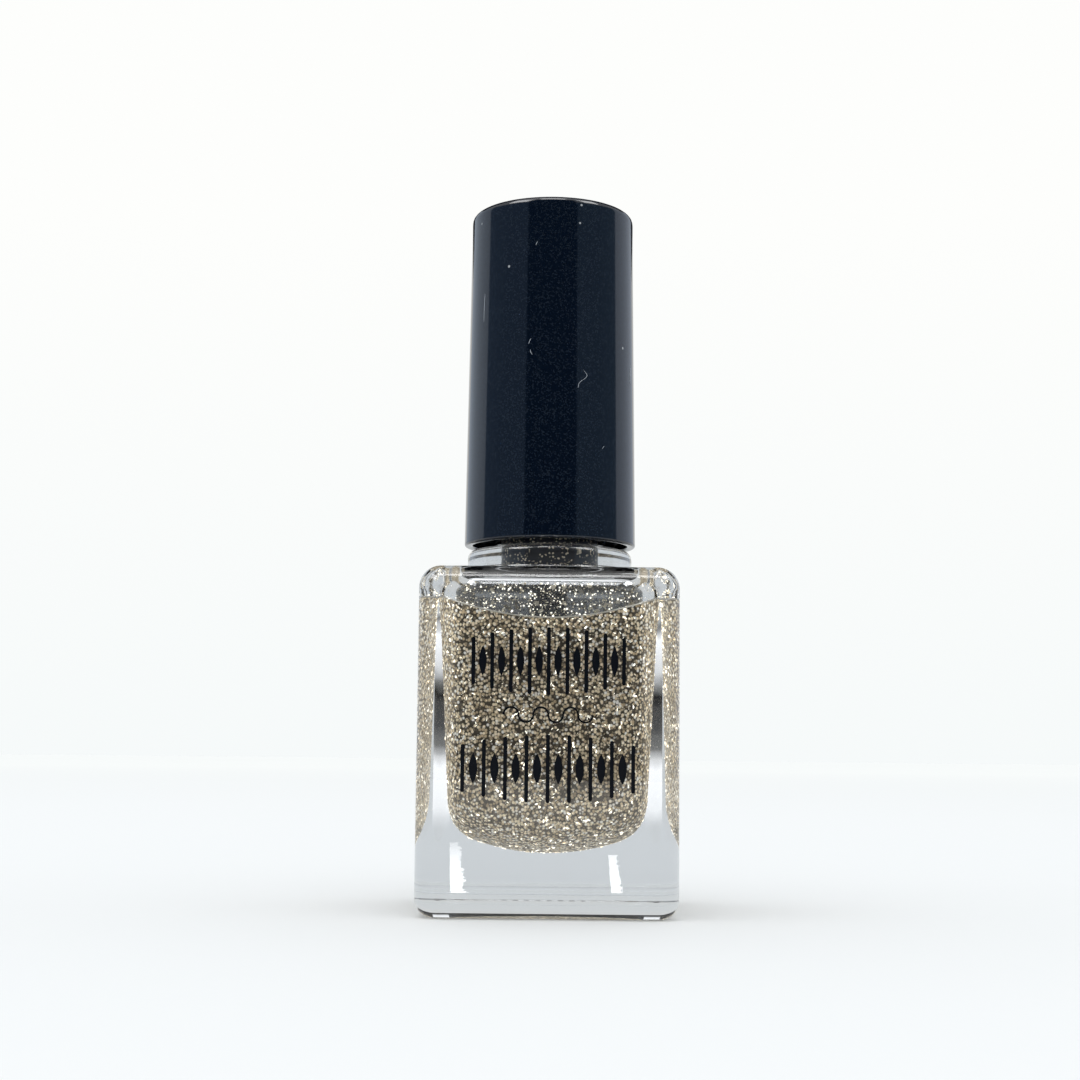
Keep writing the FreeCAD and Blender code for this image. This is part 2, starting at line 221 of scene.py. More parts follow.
def rounded(corner: POINT, before: POINT, after: POINT, size: float, count: int = 7) -> list[POINT]:
    """Points that round one corner of an outline: a quadratic curve between the two tangent points.

    Args:
        corner: The sharp corner.
        before: The outline's point before it.
        after: The outline's point after it.
        size: How far from the corner the rounding starts.
        count: How many points.

    Returns:
        The points in order.
    """
    c, b, a = (np.array(p, float) for p in (corner, before, after))
    start = c + (b - c) / np.linalg.norm(b - c) * size
    end = c + (a - c) / np.linalg.norm(a - c) * size
    t = np.linspace(0.0, 1.0, count)[:, None]
    curve = (1 - t) ** 2 * start + 2 * t * (1 - t) * c + t**2 * end
    return [(float(r), float(z)) for r, z in curve]


def softened(outline: Sequence[POINT], sizes: Sequence[float]) -> list[POINT]:
    """An outline whose inner corners are rounded by the sizes given, 0 for a sharp one.

    A stretch of more than a few millimetres gets support points near its ends, so that its smooth
    shading stays flat.

    Args:
        outline: Points of (radius, height).
        sizes: One rounding for each point; the first and last are ignored.

    Returns:
        The finer outline.
    """
    long_stretch, near_end = 1.0 * MM, 0.12 * MM
    points: list[POINT] = [outline[0]]
    for n in range(1, len(outline) - 1):
        if sizes[n] > 0:
            points += rounded(outline[n], outline[n - 1], outline[n + 1], sizes[n])
        else:
            points.append(outline[n])
    points.append(outline[-1])
    fine: list[POINT] = [points[0]]
    for a, b in zip(points[:-1], points[1:]):
        length = math.dist(a, b)
        if length > long_stretch:
            for share in (near_end / length, 0.5, 1 - near_end / length):
                fine.append((a[0] + share * (b[0] - a[0]), a[1] + share * (b[1] - a[1])))
        fine.append(b)
    return fine


@dataclass(frozen=True)
class Thread:
    """A right-hand thread of one start, as a bump in radius that depends on angle and height."""

    foot_z: float
    pitch: float = THREAD_PITCH
    turns: float = THREAD_TURNS
    depth: float = 0.75 * MM
    root_width: float = 1.05 * MM
    crest_width: float = 0.45 * MM
    fade_turns: float = 0.1

    def height(self, angle: np.ndarray, z: np.ndarray | float) -> np.ndarray:
        """How far the ridge stands out at each angle and height.

        The nearest pass of the helix gives the distance along Z; the ridge's section is a trapezoid
        of that distance, and it fades in over the first and last tenth of a turn.

        Args:
            angle: Angles in radians.
            z: Heights in metres.

        Returns:
            The ridge's height, from 0 to depth.
        """
        turn = np.mod(angle, 2 * math.pi) / (2 * math.pi)
        passes = np.round((z - self.foot_z) / self.pitch - turn)
        along = passes + turn
        off = np.abs(z - self.foot_z - along * self.pitch)
        flank = (self.root_width / 2 - off) / (self.root_width / 2 - self.crest_width / 2)
        start = np.clip(along / self.fade_turns, 0, 1)
        end = np.clip((self.turns - along) / self.fade_turns, 0, 1)
        return self.depth * np.clip(flank, 0, 1) * (start * end)


# --- Shader arithmetic ----------------------------------------------------------------------


class Value:
    """A number or colour that varies over a surface, for use in Python arithmetic."""

    def __init__(self, nodes: "Nodes", socket: bpy.types.NodeSocket) -> None:
        """Wraps an output socket of a node tree."""
        self.nodes = nodes
        self.socket = socket

    def _math(self, operation: str, *others: "Value | float", clamp: bool = False) -> "Value":
        """Adds one Math node that works on this value first."""
        settings = {"operation": operation, "use_clamp": clamp}
        return self.nodes.node("ShaderNodeMath", settings, dict(enumerate((self, *others))))

    def __add__(self, other: "Value | float") -> "Value":
        """Sum."""
        return self._math("ADD", other)

    def __radd__(self, other: float) -> "Value":
        """Sum with a number on the left."""
        return self._math("ADD", other)

    def __sub__(self, other: "Value | float") -> "Value":
        """Difference."""
        return self._math("SUBTRACT", other)

    def __rsub__(self, other: float) -> "Value":
        """A number less this value."""
        return self.nodes.node("ShaderNodeMath", {"operation": "SUBTRACT"}, {0: other, 1: self})

    def __mul__(self, other: "Value | float") -> "Value":
        """Product."""
        return self._math("MULTIPLY", other)

    def __pow__(self, other: "Value | float") -> "Value":
        """Power."""
        return self._math("POWER", other)

    def above(self, edge: float, softness: float) -> "Value":
        """0 below the edge and 1 above it, with a straight ramp of the softness between."""
        return ((self - edge) * (1 / softness))._math("ADD", 0.5, clamp=True)

    def sine(self) -> "Value":
        """Sine of an angle in radians."""
        return self._math("SINE")

    def clamped(self) -> "Value":
        """Kept between 0 and 1."""
        return self._math("ADD", 0.0, clamp=True)


class Nodes:
    """Adds nodes to one tree, and wraps what they give."""

    def __init__(self, tree: bpy.types.NodeTree) -> None:
        """Keeps the tree that nodes are added to."""
        self.tree = tree

    def node(
        self,
        kind: str,
        settings: dict[str, Any] | None = None,
        values: dict[Any, Any] | None = None,
        out: Any = 0,
    ) -> Value:
        """Adds any node and returns one of its outputs.

        Args:
            kind: Blender's name for the node type.
            settings: Properties to set first; "stops" holds the stops of a colour ramp.
            values: What goes in each socket, by name or number: a Value or a constant.
            out: The output wanted, by name or number.

        Returns:
            The output, wrapped.
        """
        node = self.tree.nodes.new(kind)
        for key, setting in (settings or {}).items():
            if key == "stops":
                self._fill_ramp(node.color_ramp, setting)
            else:
                setattr(node, key, setting)
        for key, value in (values or {}).items():
            if isinstance(value, Value):
                self.tree.links.new(value.socket, node.inputs[key])
            else:
                node.inputs[key].default_value = value
        return Value(self, node.outputs[out])

    @staticmethod
    def _fill_ramp(ramp: bpy.types.ColorRamp, stops: Sequence[tuple[float, COLOUR]]) -> None:
        """Puts stops in a ramp, in place of its own two.

        Args:
            ramp: The ramp of a new node.
            stops: Positions from 0 to 1, each with its colour.
        """
        while len(ramp.elements) > 1:
            ramp.elements.remove(ramp.elements[-1])
        ramp.elements[0].position = stops[0][0]
        ramp.elements[0].color = (*stops[0][1], 1.0)
        for position, colour in stops[1:]:
            ramp.elements.new(position).color = (*colour, 1.0)

    def ramp(self, value: Value, stops: Sequence[tuple[float, COLOUR]]) -> Value:
        """Colour picked along a ramp."""
        return self.node("ShaderNodeValToRGB", {"stops": stops}, {"Fac": value}, "Color")

    def parts(self, colour: Value) -> tuple[Value, Value, Value]:
        """The red, green and blue of a colour, or the x, y and z of a point."""
        split = self.node("ShaderNodeSeparateColor", {}, {0: colour}).socket.node
        return Value(self, split.outputs[0]), Value(self, split.outputs[1]), Value(self, split.outputs[2])


class Paint(Nodes):
    """Builds the node tree of one material."""

    def __init__(self, name: str) -> None:
        """Starts an empty material with its output and a Principled shader.

        Args:
            name: The material's name.
        """
        self.material = bpy.data.materials.new(name)
        self.material.use_nodes = True
        super().__init__(self.material.node_tree)
        self.tree.nodes.clear()
        output = self.tree.nodes.new("ShaderNodeOutputMaterial")
        self.shader = self.tree.nodes.new("ShaderNodeBsdfPrincipled")
        self.tree.links.new(self.shader.outputs["BSDF"], output.inputs["Surface"])

    def place(self) -> Value:
        """The point on the surface, in the piece's own coordinates."""
        return self.node("ShaderNodeTexCoord", out="Object")

    def attribute(self, name: str) -> Value:
        """A number stored on the faces."""
        return self.node("ShaderNodeAttribute", {"attribute_name": name}, out="Fac")

    def noise(
        self, scale: float, detail: float = 2.0, roughness: float = 0.5, stretch: TRIPLE = (1.0, 1.0, 1.0)
    ) -> Value:
        """Smooth noise from 0 to 1 over the piece.

        Args:
            scale: Waves in a metre.
            detail: How many finer layers are added.
            roughness: How strong the finer layers are.
            stretch: Below 1, the noise is drawn out along that axis.

        Returns:
            The noise.
        """
        at = self.node("ShaderNodeVectorMath", {"operation": "MULTIPLY"}, {0: self.place(), 1: stretch})
        values = {"Vector": at, "Scale": scale, "Detail": detail, "Roughness": roughness}
        return self.node("ShaderNodeTexNoise", {}, values, "Fac")

    def cells(self, scale: float, out: str = "Color") -> Value:
        """Irregular cells over the piece: a random colour, or the distance to the cell's centre."""
        return self.node("ShaderNodeTexVoronoi", {}, {"Vector": self.place(), "Scale": scale}, out)

    def blend(self, share: Value, first: Any, second: Any) -> Value:
        """Mixes two colours by a share; 6 and 7 are the Mix node's colours, and 2 is its colour result."""
        values = {0: share, 6: self._colour(first), 7: self._colour(second)}
        return self.node("ShaderNodeMix", {"data_type": "RGBA"}, values, 2)

    @staticmethod
    def _colour(value: Any) -> Any:
        """A colour with its fourth number, or a Value as it is."""
        return value if isinstance(value, Value) else (*value, 1.0)

    def bump(self, height: Value, strength: float, distance: float) -> Value:
        """A normal that follows the slope of a height."""
        values = {"Height": height, "Strength": strength, "Distance": distance}
        return self.node("ShaderNodeBump", {}, values, "Normal")

    def _vector(self, operation: str, values: dict[Any, Any]) -> Value:
        """Adds one Vector Math node."""
        return self.node("ShaderNodeVectorMath", {"operation": operation}, values)

    def tilted(self, wobble: Value, amount: float) -> Value:
        """The surface normal, tipped by a random colour read as a direction.

        Args:
            wobble: The random colour, with parts from 0 to 1.
            amount: The longest sideways pull, as a share of the normal's length.

        Returns:
            The tipped normal, of length 1.
        """
        centred = self._vector("SUBTRACT", {0: wobble, 1: (0.5, 0.5, 0.5)})
        scaled = self._vector("SCALE", {0: centred, "Scale": 2 * amount})
        own = self.node("ShaderNodeNewGeometry", out="Normal")
        return self._vector("NORMALIZE", {0: self._vector("ADD", {0: own, 1: scaled})})

    def set(self, **sockets: Any) -> None:
        """Sets sockets of the Principled shader.

        Args:
            sockets: Values or constants by the socket's name; an underscore stands for a space.
        """
        for key, value in sockets.items():
            socket = self.shader.inputs[key.replace("_", " ")]
            if isinstance(value, Value):
                self.tree.links.new(value.socket, socket)
            elif isinstance(value, tuple) and len(value) == 3 and socket.type == "RGBA":
                socket.default_value = (*value, 1.0)
            else:
                socket.default_value = value


# --- Finishes -------------------------------------------------------------------------------


@dataclass(frozen=True)
class GlassFinish:
    """Moulded soda glass: clear, faintly grey, with slow waves in its skin."""

    tint: COLOUR = (0.625, 0.645, 0.665)
    ior: float = 1.52
    wave_scale: float = 170.0
    wave_height: float = 0.000005

    def material(self) -> bpy.types.Material:
        """Builds the material.

        Returns:
            The material.
        """
        paint = Paint("clear_glass")
        waves = paint.noise(self.wave_scale, 1.0, 0.4, (1.0, 1.0, 0.6))
        fine = paint.noise(self.wave_scale * 5, 1.0, 0.5)
        height = waves + fine * 0.035
        paint.set(
            Base_Color=self.tint,
            Roughness=0.0,
            IOR=self.ior,
            Transmission_Weight=1.0,
            Normal=paint.bump(height, 1.0, self.wave_height),
        )
        return paint.material


@dataclass(frozen=True)
class GlitterFinish:
    """Clear lacquer packed with metal flakes: each small cell is a flake with its own colour and tilt; the
    flakes glow faintly as painted glints, and the sides and lower part are painted paler.
    """

    name: str = "glitter_polish"
    flake_scale: float = 3500.0
    tilt: float = 0.32
    shadows: COLOUR = (0.050, 0.036, 0.020)
    bronze: COLOUR = (0.54, 0.405, 0.23)
    champagne: COLOUR = (0.97, 0.82, 0.57)
    silver: COLOUR = (0.98, 0.96, 0.90)
    # Colour of the painted glints that the polish glows with.
    glow: COLOUR = (0.46, 0.405, 0.315)

    def material(self) -> bpy.types.Material:
        """Builds the material.

        Returns:
            The material.
        """
        paint = Paint(self.name)
        cell = paint.cells(self.flake_scale)
        red, green, blue = paint.parts(cell)
        cloud = paint.noise(330.0, 3.0, 0.6)
        x, _, z = paint.parts(paint.place())
        side = (x * x) ** 0.5
        # Painted light: beyond about 9 mm to either side, and below about 12.5 mm, the polish is made paler
        # here and glows below, standing in for light that reaches it there.
        pale = (side.above(0.0090, 0.0007) * 0.9 + (1 - z.above(0.0125, 0.005)) * 0.35).clamped()
        pick = red * 0.8 + cloud * 0.5 - 0.15 + pale * 0.12
        colour = paint.ramp(
            pick,
            [
                (0.0, self.shadows),
                (0.16, self.shadows),
                (0.26, self.bronze),
                (0.42, self.bronze),
                (0.54, self.champagne),
                (0.74, self.champagne),
                (0.84, self.silver),
            ],
        )
        core = 1 - paint.cells(self.flake_scale, "Distance").above(0.52, 0.25)
        shown = paint.blend(core, self.shadows, colour)
        # Painted glint: every flake's core, and more so the pale places, glows in the glow colour, standing
        # in for light caught by the flakes.
        painted_glint = (pale * (0.25 + red * 0.5) + core * 0.17).clamped()
        paint.set(
            Base_Color=shown,
            Metallic=core * 0.35 * green,
            Roughness=0.3 + blue * 0.3,
            Emission_Color=paint.blend(painted_glint, BLACK, self.glow),
            Emission_Strength=1.0,
            Normal=paint.tilted(cell, self.tilt),
        )
        paint.material.cycles.emission_sampling = "NONE"
        return paint.material


@dataclass(frozen=True)
class FlakeFinish:
    """Loose glitter flakes: each is one metal colour, from dark bronze to pale silver-gold, and the paler
    ones glow as painted glints.
    """

    name: str = "glitter_flakes"
    roughness: float = 0.22

    def material(self) -> bpy.types.Material:
        """Builds the material.

        Returns:
            The material.
        """
        paint = Paint(self.name)
        tint = paint.attribute("flake_tint")
        colour = paint.ramp(
            tint,
            [
                (0.0, (0.22, 0.17, 0.11)),
                (0.25, (0.46, 0.38, 0.24)),
                (0.55, (0.80, 0.70, 0.50)),
                (0.80, (0.97, 0.91, 0.78)),
                (1.0, (1.0, 0.98, 0.94)),
            ],
        )
        # Painted glint: flakes with a tint past 0.45 glow, the palest brightly, standing in for light that
        # they catch.
        painted_flake_glint = paint.ramp(
            tint,
            [
                (0.0, BLACK),
                (0.45, BLACK),
                (0.68, (0.26, 0.21, 0.125)),
                (0.85, (0.85, 0.74, 0.52)),
                (0.94, (1.9, 1.78, 1.5)),
            ],
        )
        smear = paint.noise(2500.0, 1.0)
        paint.set(
            Base_Color=colour,
            Metallic=0.7,
            Roughness=self.roughness + smear * 0.16,
            Emission_Color=painted_flake_glint,
            Emission_Strength=1.0,
        )
        paint.material.cycles.emission_sampling = "NONE"
        return paint.material


@dataclass(frozen=True)
class FilmFinish:
    """A thin grey smear of lacquer left on the glass over the polish."""

    name: str = "lacquer_film"
    colour: COLOUR = (0.055, 0.052, 0.047)
    cover: float = 0.50
    specks: float = 2600.0
    speck_colour: COLOUR = (0.62, 0.55, 0.42)

    def material(self) -> bpy.types.Material:
        """Builds the material.

        Returns:
            The material.
        """
        paint = Paint(self.name)
        cloud = paint.noise(650.0, 4.0, 0.7)
        specks = paint.parts(paint.cells(self.specks))[0].above(0.9, 0.04)
        colour = paint.blend(specks, self.colour, self.speck_colour)
        paint.set(
            Base_Color=colour,
            Metallic=specks * 0.8,
            Roughness=0.3,
            Alpha=(cloud * 0.7 + self.cover - 0.3 + specks * 0.5).clamped(),
        )
        return paint.material


@dataclass(frozen=True)
class CapFinish:
    """Blue-black lacquered plastic, very glossy, with a faint sparkle, dust and hair scratches."""

    colour: COLOUR = (0.0018, 0.0046, 0.0112)
    sparkle: COLOUR = (0.0095, 0.0145, 0.0235)
    dust: COLOUR = (0.30, 0.32, 0.34)
    sparkle_scale: float = 9000.0
    dust_scale: float = 700.0

    def material(self) -> bpy.types.Material:
        """Builds the material.

        Returns:
            The material.
        """
        paint = Paint("cap_gloss")
        red, green, _ = paint.parts(paint.cells(self.sparkle_scale))
        sparkle = red.above(0.80, 0.12)
        clear = paint.cells(self.dust_scale, "Distance").above(0.10, 0.03)
        dusty = (1 - clear) * paint.parts(paint.cells(self.dust_scale))[0].above(0.90, 0.02)
        hair = paint.noise(900.0, 1.0, 0.5, (1.0, 1.0, 0.03)).above(0.74, 0.02)
        wear = paint.noise(90.0, 4.0, 0.6)
        base = paint.blend(sparkle, self.colour, self.sparkle)
        base = paint.blend(dusty, base, self.dust)
        ripple = paint.noise(60.0, 1.0, 0.4, (1.0, 1.0, 0.25)) + green * 0.012
        paint.set(
            Base_Color=base,
            Roughness=0.055 + wear * 0.05 + dusty * 0.5 + hair * 0.12,
            Specular_IOR_Level=0.5,
            IOR=1.5,
            Normal=paint.bump(ripple, 1.0, 0.00001),
        )
        return paint.material


@dataclass(frozen=True)
class PlasticFinish:
    """Moulded plastic with a fine grain and slow changes in sheen."""

    name: str
    colour: COLOUR
    roughness: float = 0.35
    grain: float = 0.00002

    def material(self) -> bpy.types.Material:
        """Builds the material.

        Returns:
            The material.
        """
        paint = Paint(self.name)
        cloud = paint.noise(180.0, 3.0, 0.6)
        grain = paint.noise(3200.0, 2.0, 0.7)
        lighter = tuple(min(1.0, c * 1.5 + 0.006) for c in self.colour)
        paint.set(
            Base_Color=paint.blend(cloud, self.colour, lighter),
            Roughness=self.roughness - 0.08 + cloud * 0.16,
            Normal=paint.bump(grain, 0.35, self.grain),
        )
        return paint.material


@dataclass(frozen=True)
class MetalFinish:
    """Bright steel with fine marks."""

    name: str
    colour: COLOUR = (0.72, 0.72, 0.73)
    roughness: float = 0.12

    def material(self) -> bpy.types.Material:
        """Builds the material.

        Returns:
            The material.
        """
        paint = Paint(self.name)
        marks = paint.noise(1400.0, 4.0, 0.7, (1.0, 0.2, 1.0))
        tarnish = paint.noise(300.0, 3.0, 0.6)
        darker = tuple(c * 0.62 for c in self.colour)
        paint.set(
            Base_Color=paint.blend(tarnish, darker, self.colour),
            Metallic=1.0,
            Roughness=self.roughness + marks * 0.14,
            Normal=paint.bump(marks, 0.3, 0.00001),
        )
        return paint.material


@dataclass(frozen=True)
class InkFinish:
    """Screen-printed black ink: satin, slightly uneven, with paler thin spots."""

    colour: COLOUR = (0.0035, 0.0045, 0.0075)
    thin_colour: COLOUR = (0.014, 0.014, 0.016)

    def material(self) -> bpy.types.Material:
        """Builds the material.

        Returns:
            The material.
        """
        paint = Paint("print_ink")
        thin = paint.noise(1900.0, 3.0, 0.7).above(0.68, 0.08)
        weave = paint.noise(5200.0, 1.0)
        paint.set(
            Base_Color=paint.blend(thin, self.colour, self.thin_colour),
            Roughness=0.14 + weave * 0.2,
            Specular_IOR_Level=0.08,
            Normal=paint.bump(weave, 0.4, 0.000012),
        )
        return paint.material


@dataclass(frozen=True)
class LabelFinish:
    """A white paper sticker with a dark ring and rows of dots, whose paper glows with painted light."""

    radius: float
    edge: float = 0.00005
    pitch_across: float = 0.0011
    pitch_up: float = 0.0019

    def material(self) -> bpy.types.Material:
        """Builds the material.

        Returns:
            The material.
        """
        paint = Paint("label_paper")
        x, y, _ = paint.parts(paint.place())
        away = (x * x + y * y) ** 0.5
        outer = away.above(self.radius * 0.86, self.edge) * (1 - away.above(self.radius * 0.90, self.edge))
        across = self._dots(x, self.pitch_across)
        up = self._dots(y, self.pitch_up)
        rows = across * up * (1 - away.above(self.radius * 0.66, self.edge))
        fibre = paint.noise(2600.0, 4.0, 0.7)
        ink = (outer + rows).clamped()
        paper = paint.blend(fibre, (0.70, 0.70, 0.68), (0.84, 0.84, 0.82))
        paint.set(
            Base_Color=paint.blend(ink, paper, (0.03, 0.03, 0.035)),
            Roughness=0.62 + fibre * 0.2,
            # Painted light: the paper glows pale grey and the ink barely, standing in for light on the
            # sticker under the bottle.
            Emission_Color=paint.blend(ink, (0.42, 0.43, 0.44), (0.02, 0.02, 0.022)),
            Emission_Strength=1.0,
            Normal=paint.bump(fibre, 0.4, 0.00002),
        )
        return paint.material

    @staticmethod
    def _dots(value: Value, pitch: float) -> Value:
        """1 in the middle half of each step of a length, 0 between."""
        return (value * (2 * math.pi / pitch)).sine().above(0.15, 0.1)


@dataclass(frozen=True)
class FloorFinish:
    """A plain pale surface, with a breath of unevenness, that pales towards its far edge: painted light
    that makes up for the lamp's light falling off with distance.
    """

    colour: COLOUR = (0.868, 0.892, 0.918)
    # Paler colour of the far floor, painted light against the lamp's fall-off.
    far: COLOUR = (0.955, 0.978, 0.988)

    def material(self) -> bpy.types.Material:
        """Builds the material.

        Returns:
            The material.
        """
        paint = Paint("floor_white")
        cloud = paint.noise(4.0, 3.0, 0.6)
        shade = tuple(c * 0.985 for c in self.colour)
        x, y, _ = paint.parts(paint.place())
        # Painted light: from 0.15 m out to 1.65 m the floor blends to the paler far colour, making up for
        # the lamp's light that falls off with distance.
        away = ((x * x + y * y) ** 0.5).above(0.9, 1.5)
        near = paint.blend(cloud, shade, self.colour)
        paint.set(Base_Color=paint.blend(away, near, self.far), Roughness=0.95, Specular_IOR_Level=0.0)
        return paint.material


def dress(piece: bpy.types.Object, material: bpy.types.Material) -> None:
    """Gives a piece its only material.

    Args:
        piece: The piece.
        material: Its material.
    """
    piece.data.materials.clear()
    piece.data.materials.append(material)


def report(piece: bpy.types.Object, body: Body) -> None:
    """Logs one finished piece."""
    LOG.info("%s on %s: %d faces", piece.name, body.value, len(piece.data.polygons))


# --- Sub-assemblies -------------------------------------------------------------------------


@dataclass
class Cavity:
    """The space inside the glass: tapered sides, rounded corners and a floor like a bowl."""

    floor_z: float
    ceiling_z: float
    half_side: float
    wall_top: float = 1.9 * MM
    wall_base: float = 3.2 * MM
    corner: float = 4.2 * MM
    ceiling_round: float = 1.4 * MM
    floor_round: float = 2.3 * MM
    bowl: float = 22.0 * MM
    taper_drop: float = 1.0 * MM

    def half(self, z: np.ndarray | float) -> np.ndarray:
        """Half the width between the side walls at a height.

        It runs straight from half_side - wall_base, a little below the floor, to half_side - wall_top.

        Args:
            z: Heights in metres.

        Returns:
            The half widths.
        """
        foot = self.floor_z - self.taper_drop
        share = (z - foot) / (self.ceiling_z - foot)
        return self.half_side - self.wall_base + share * (self.wall_base - self.wall_top)

    def floor(self, reach: np.ndarray) -> np.ndarray:
        """Height of the bowl at a distance from the axis, on a sphere."""
        return self.floor_z + self.bowl - np.sqrt(self.bowl**2 - reach**2)

    def reach(self, z: np.ndarray | float, angle: np.ndarray, grow: float = 0.0) -> np.ndarray:
        """Distance from the axis to the side walls at a height, moved outwards by grow."""
        return rounded_reach(self.half(z) + grow, self.corner + grow, angle)

    def wall(self, z: np.ndarray | float, angle: np.ndarray, grow: float = 0.0) -> np.ndarray:
        """One ring on the side walls, moved outwards by grow."""
        return ring(self.reach(z, angle, grow), z, angle)

    def foot_rings(self, angle: np.ndarray, grow: float = 0.0, steps: int = 10) -> np.ndarray:
        """Rings from the end of the side walls down round the floor's edge and in to the middle.

        The edge is a quadratic curve from the wall to the bowl about the corner where they would
        meet; inside it, the footprint shrinks evenly to the axis and its height is the bowl's.

        Args:
            angle: Directions of the points.
            grow: How far the surface moves outwards.
            steps: Rings round the edge, and again across the bowl.

        Returns:
            The rings, from the wall to the middle.
        """
        start_z = self.foot_z(angle)
        bend_z = start_z - self.floor_round
        start = self.wall(start_z, angle, grow)
        bend = ring(self.reach(bend_z, angle, grow), bend_z - grow, angle)
        inner = self.reach(bend_z, angle) - self.floor_round
        end = ring(inner, self.floor(inner) - grow, angle)
        t = np.linspace(0, 1, steps)[:, None, None]
        edge = (1 - t) ** 2 * start + 2 * t * (1 - t) * bend + t**2 * end
        shares = np.linspace(1, 0, steps + 1)[1:-1]
        bowl = np.stack([ring(inner * s, self.floor(inner * s) - grow, angle) for s in shares])
        return np.concatenate([edge, bowl])

    def foot_z(self, angle: np.ndarray) -> np.ndarray:
        """Height where the side walls end and the floor's edge begins, along each angle.

        Args:
            angle: Directions of the ring's points, in radians.

        Returns:
            The heights.
        """
        return self.floor(self.reach(self.floor_z + self.floor_round, angle)) + self.floor_round


@dataclass
class GlassBottle:
    """The glass: square body, collar, threaded neck, bore and cavity, as one closed skin."""

    collar_height: float = 2.6 * MM
    neck_height: float = 11.4 * MM
    collar_inset: float = 0.35 * MM
    collar_root: float = 0.8 * MM
    corner: float = 2.2 * MM
    shoulder_edge: float = 2.1 * MM
    base_edge: float = 1.8 * MM
    heel_groove: float = 0.035 * MM
    push_up_radius: float = 9.0 * MM
    push_up_depth: float = 0.45 * MM
    base_thickness: float = 5.85 * MM
    shoulder_thickness: float = 1.2 * MM
    neck_radius: float = 5.7 * MM
    bore_radius: float = 3.2 * MM
    thread_below_lip: float = 1.7 * MM
    finish: GlassFinish = field(default_factory=GlassFinish)

    def __post_init__(self) -> None:
        """Takes the main sizes from the model's own bottle."""
        low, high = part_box("bottle")
        self.half = (high.x - low.x) / 2
        self.base_z = low.z
        self.lip_z = high.z
        self.collar_z = self.lip_z - self.neck_height
        self.shoulder_z = self.collar_z - self.collar_height
        rim_low, rim_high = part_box("overcap")
        self.collar_radius = (rim_high.x - rim_low.x) / 2 - self.collar_inset
        self.cavity = Cavity(
            floor_z=self.base_z + self.base_thickness,
            ceiling_z=self.shoulder_z - self.shoulder_thickness,
            half_side=self.half,
        )
        self.thread = Thread(foot_z=self.lip_z - self.thread_below_lip - THREAD_TURNS * THREAD_PITCH)

    def _square(self, inset: float, z: float, angle: np.ndarray) -> np.ndarray:
        """A ring of the outer square, drawn in by an inset that its corner radius shares."""
        return ring(rounded_reach(self.half - inset, max(self.corner - inset, 0.0002), angle), z, angle)

    def outside(self, angle: np.ndarray) -> list[np.ndarray]:
        """Rings of the outer skin from the middle of the base up to the collar's top.

        Each rounded edge is a quarter circle: the inset is r (1 - sin a) and the rise r (1 - cos a).

        Args:
            angle: Directions of the ring's points, in radians.

        Returns:
            The rings, in order.
        """
        flat = self.base_edge
        rings = [
            ring(self.push_up_radius * s, self.base_z + self.push_up_depth, angle)
            for s in (0.02, 0.3, 0.6, 0.85, 0.93)
        ]
        rings += [
            ring(self.push_up_radius - 0.05 * MM, self.base_z + 0.06 * MM, angle),
            ring(self.push_up_radius, self.base_z, angle),
            ring(self.push_up_radius + 0.15 * MM, self.base_z, angle),
        ]
        rings.append(self._square(flat + 0.12 * MM, self.base_z, angle))
        for a in quarter(12):
            inset = flat * (1 - math.sin(a))
            rings.append(self._square(inset, self.base_z + flat * (1 - math.cos(a)), angle))
        top = self.shoulder_z - self.shoulder_edge
        foot = self.base_z + flat
        for inset, rise in ((0.0, 0.02), (0.5, 0.06), (1.0, 0.12), (0.5, 0.18), (0.0, 0.22)):
            rings.append(self._square(inset * self.heel_groove, foot + rise * MM, angle))
        for share in (0.03, 0.2, 0.4, 0.6, 0.8, 0.99):
            rings.append(self._square(0.0, foot + share * (top - foot), angle))
        for a in quarter(14):
            inset = self.shoulder_edge * (1 - math.cos(a))
            rings.append(self._square(inset, top + self.shoulder_edge * math.sin(a), angle))
        rings.append(self._square(self.shoulder_edge + 0.1 * MM, self.shoulder_z, angle))
        return rings

    def collar_and_neck(self, angle: np.ndarray) -> list[np.ndarray]:
        """Rings of the collar, the threaded neck, the lip and the bore down to the cavity.

        Args:
            angle: Directions of the ring's points, in radians.

        Returns:
            The rings, in order.
        """
        r, n = self.collar_radius, self.neck_radius
        outline = softened(
            [
                (r + 1.5 * MM, self.shoulder_z),
                (r, self.shoulder_z),
                (r, self.collar_z),
                (n, self.collar_z),
                (n, self.thread.foot_z - 0.8 * MM),
            ],
            [0, self.collar_root, 0.95 * MM, 0.5 * MM, 0],
        )
        rings = [ring(radius, z, angle) for radius, z in outline]
        for z in np.linspace(self.thread.foot_z - 0.7 * MM, self.lip_z - 1.0 * MM, 72):
            rings.append(ring(n + self.thread.height(angle, z), z, angle))
        b = self.bore_radius
        outline = softened(
            [
                (n, self.lip_z - 0.9 * MM),
                (n, self.lip_z),
                (b, self.lip_z),
                (b, self.cavity.ceiling_z),
                (b + 1.6 * MM, self.cavity.ceiling_z),
            ],
            [0, 0.55 * MM, 0.4 * MM, 1.0 * MM, 0],
        )
        return rings + [ring(radius, z, angle) for radius, z in outline]

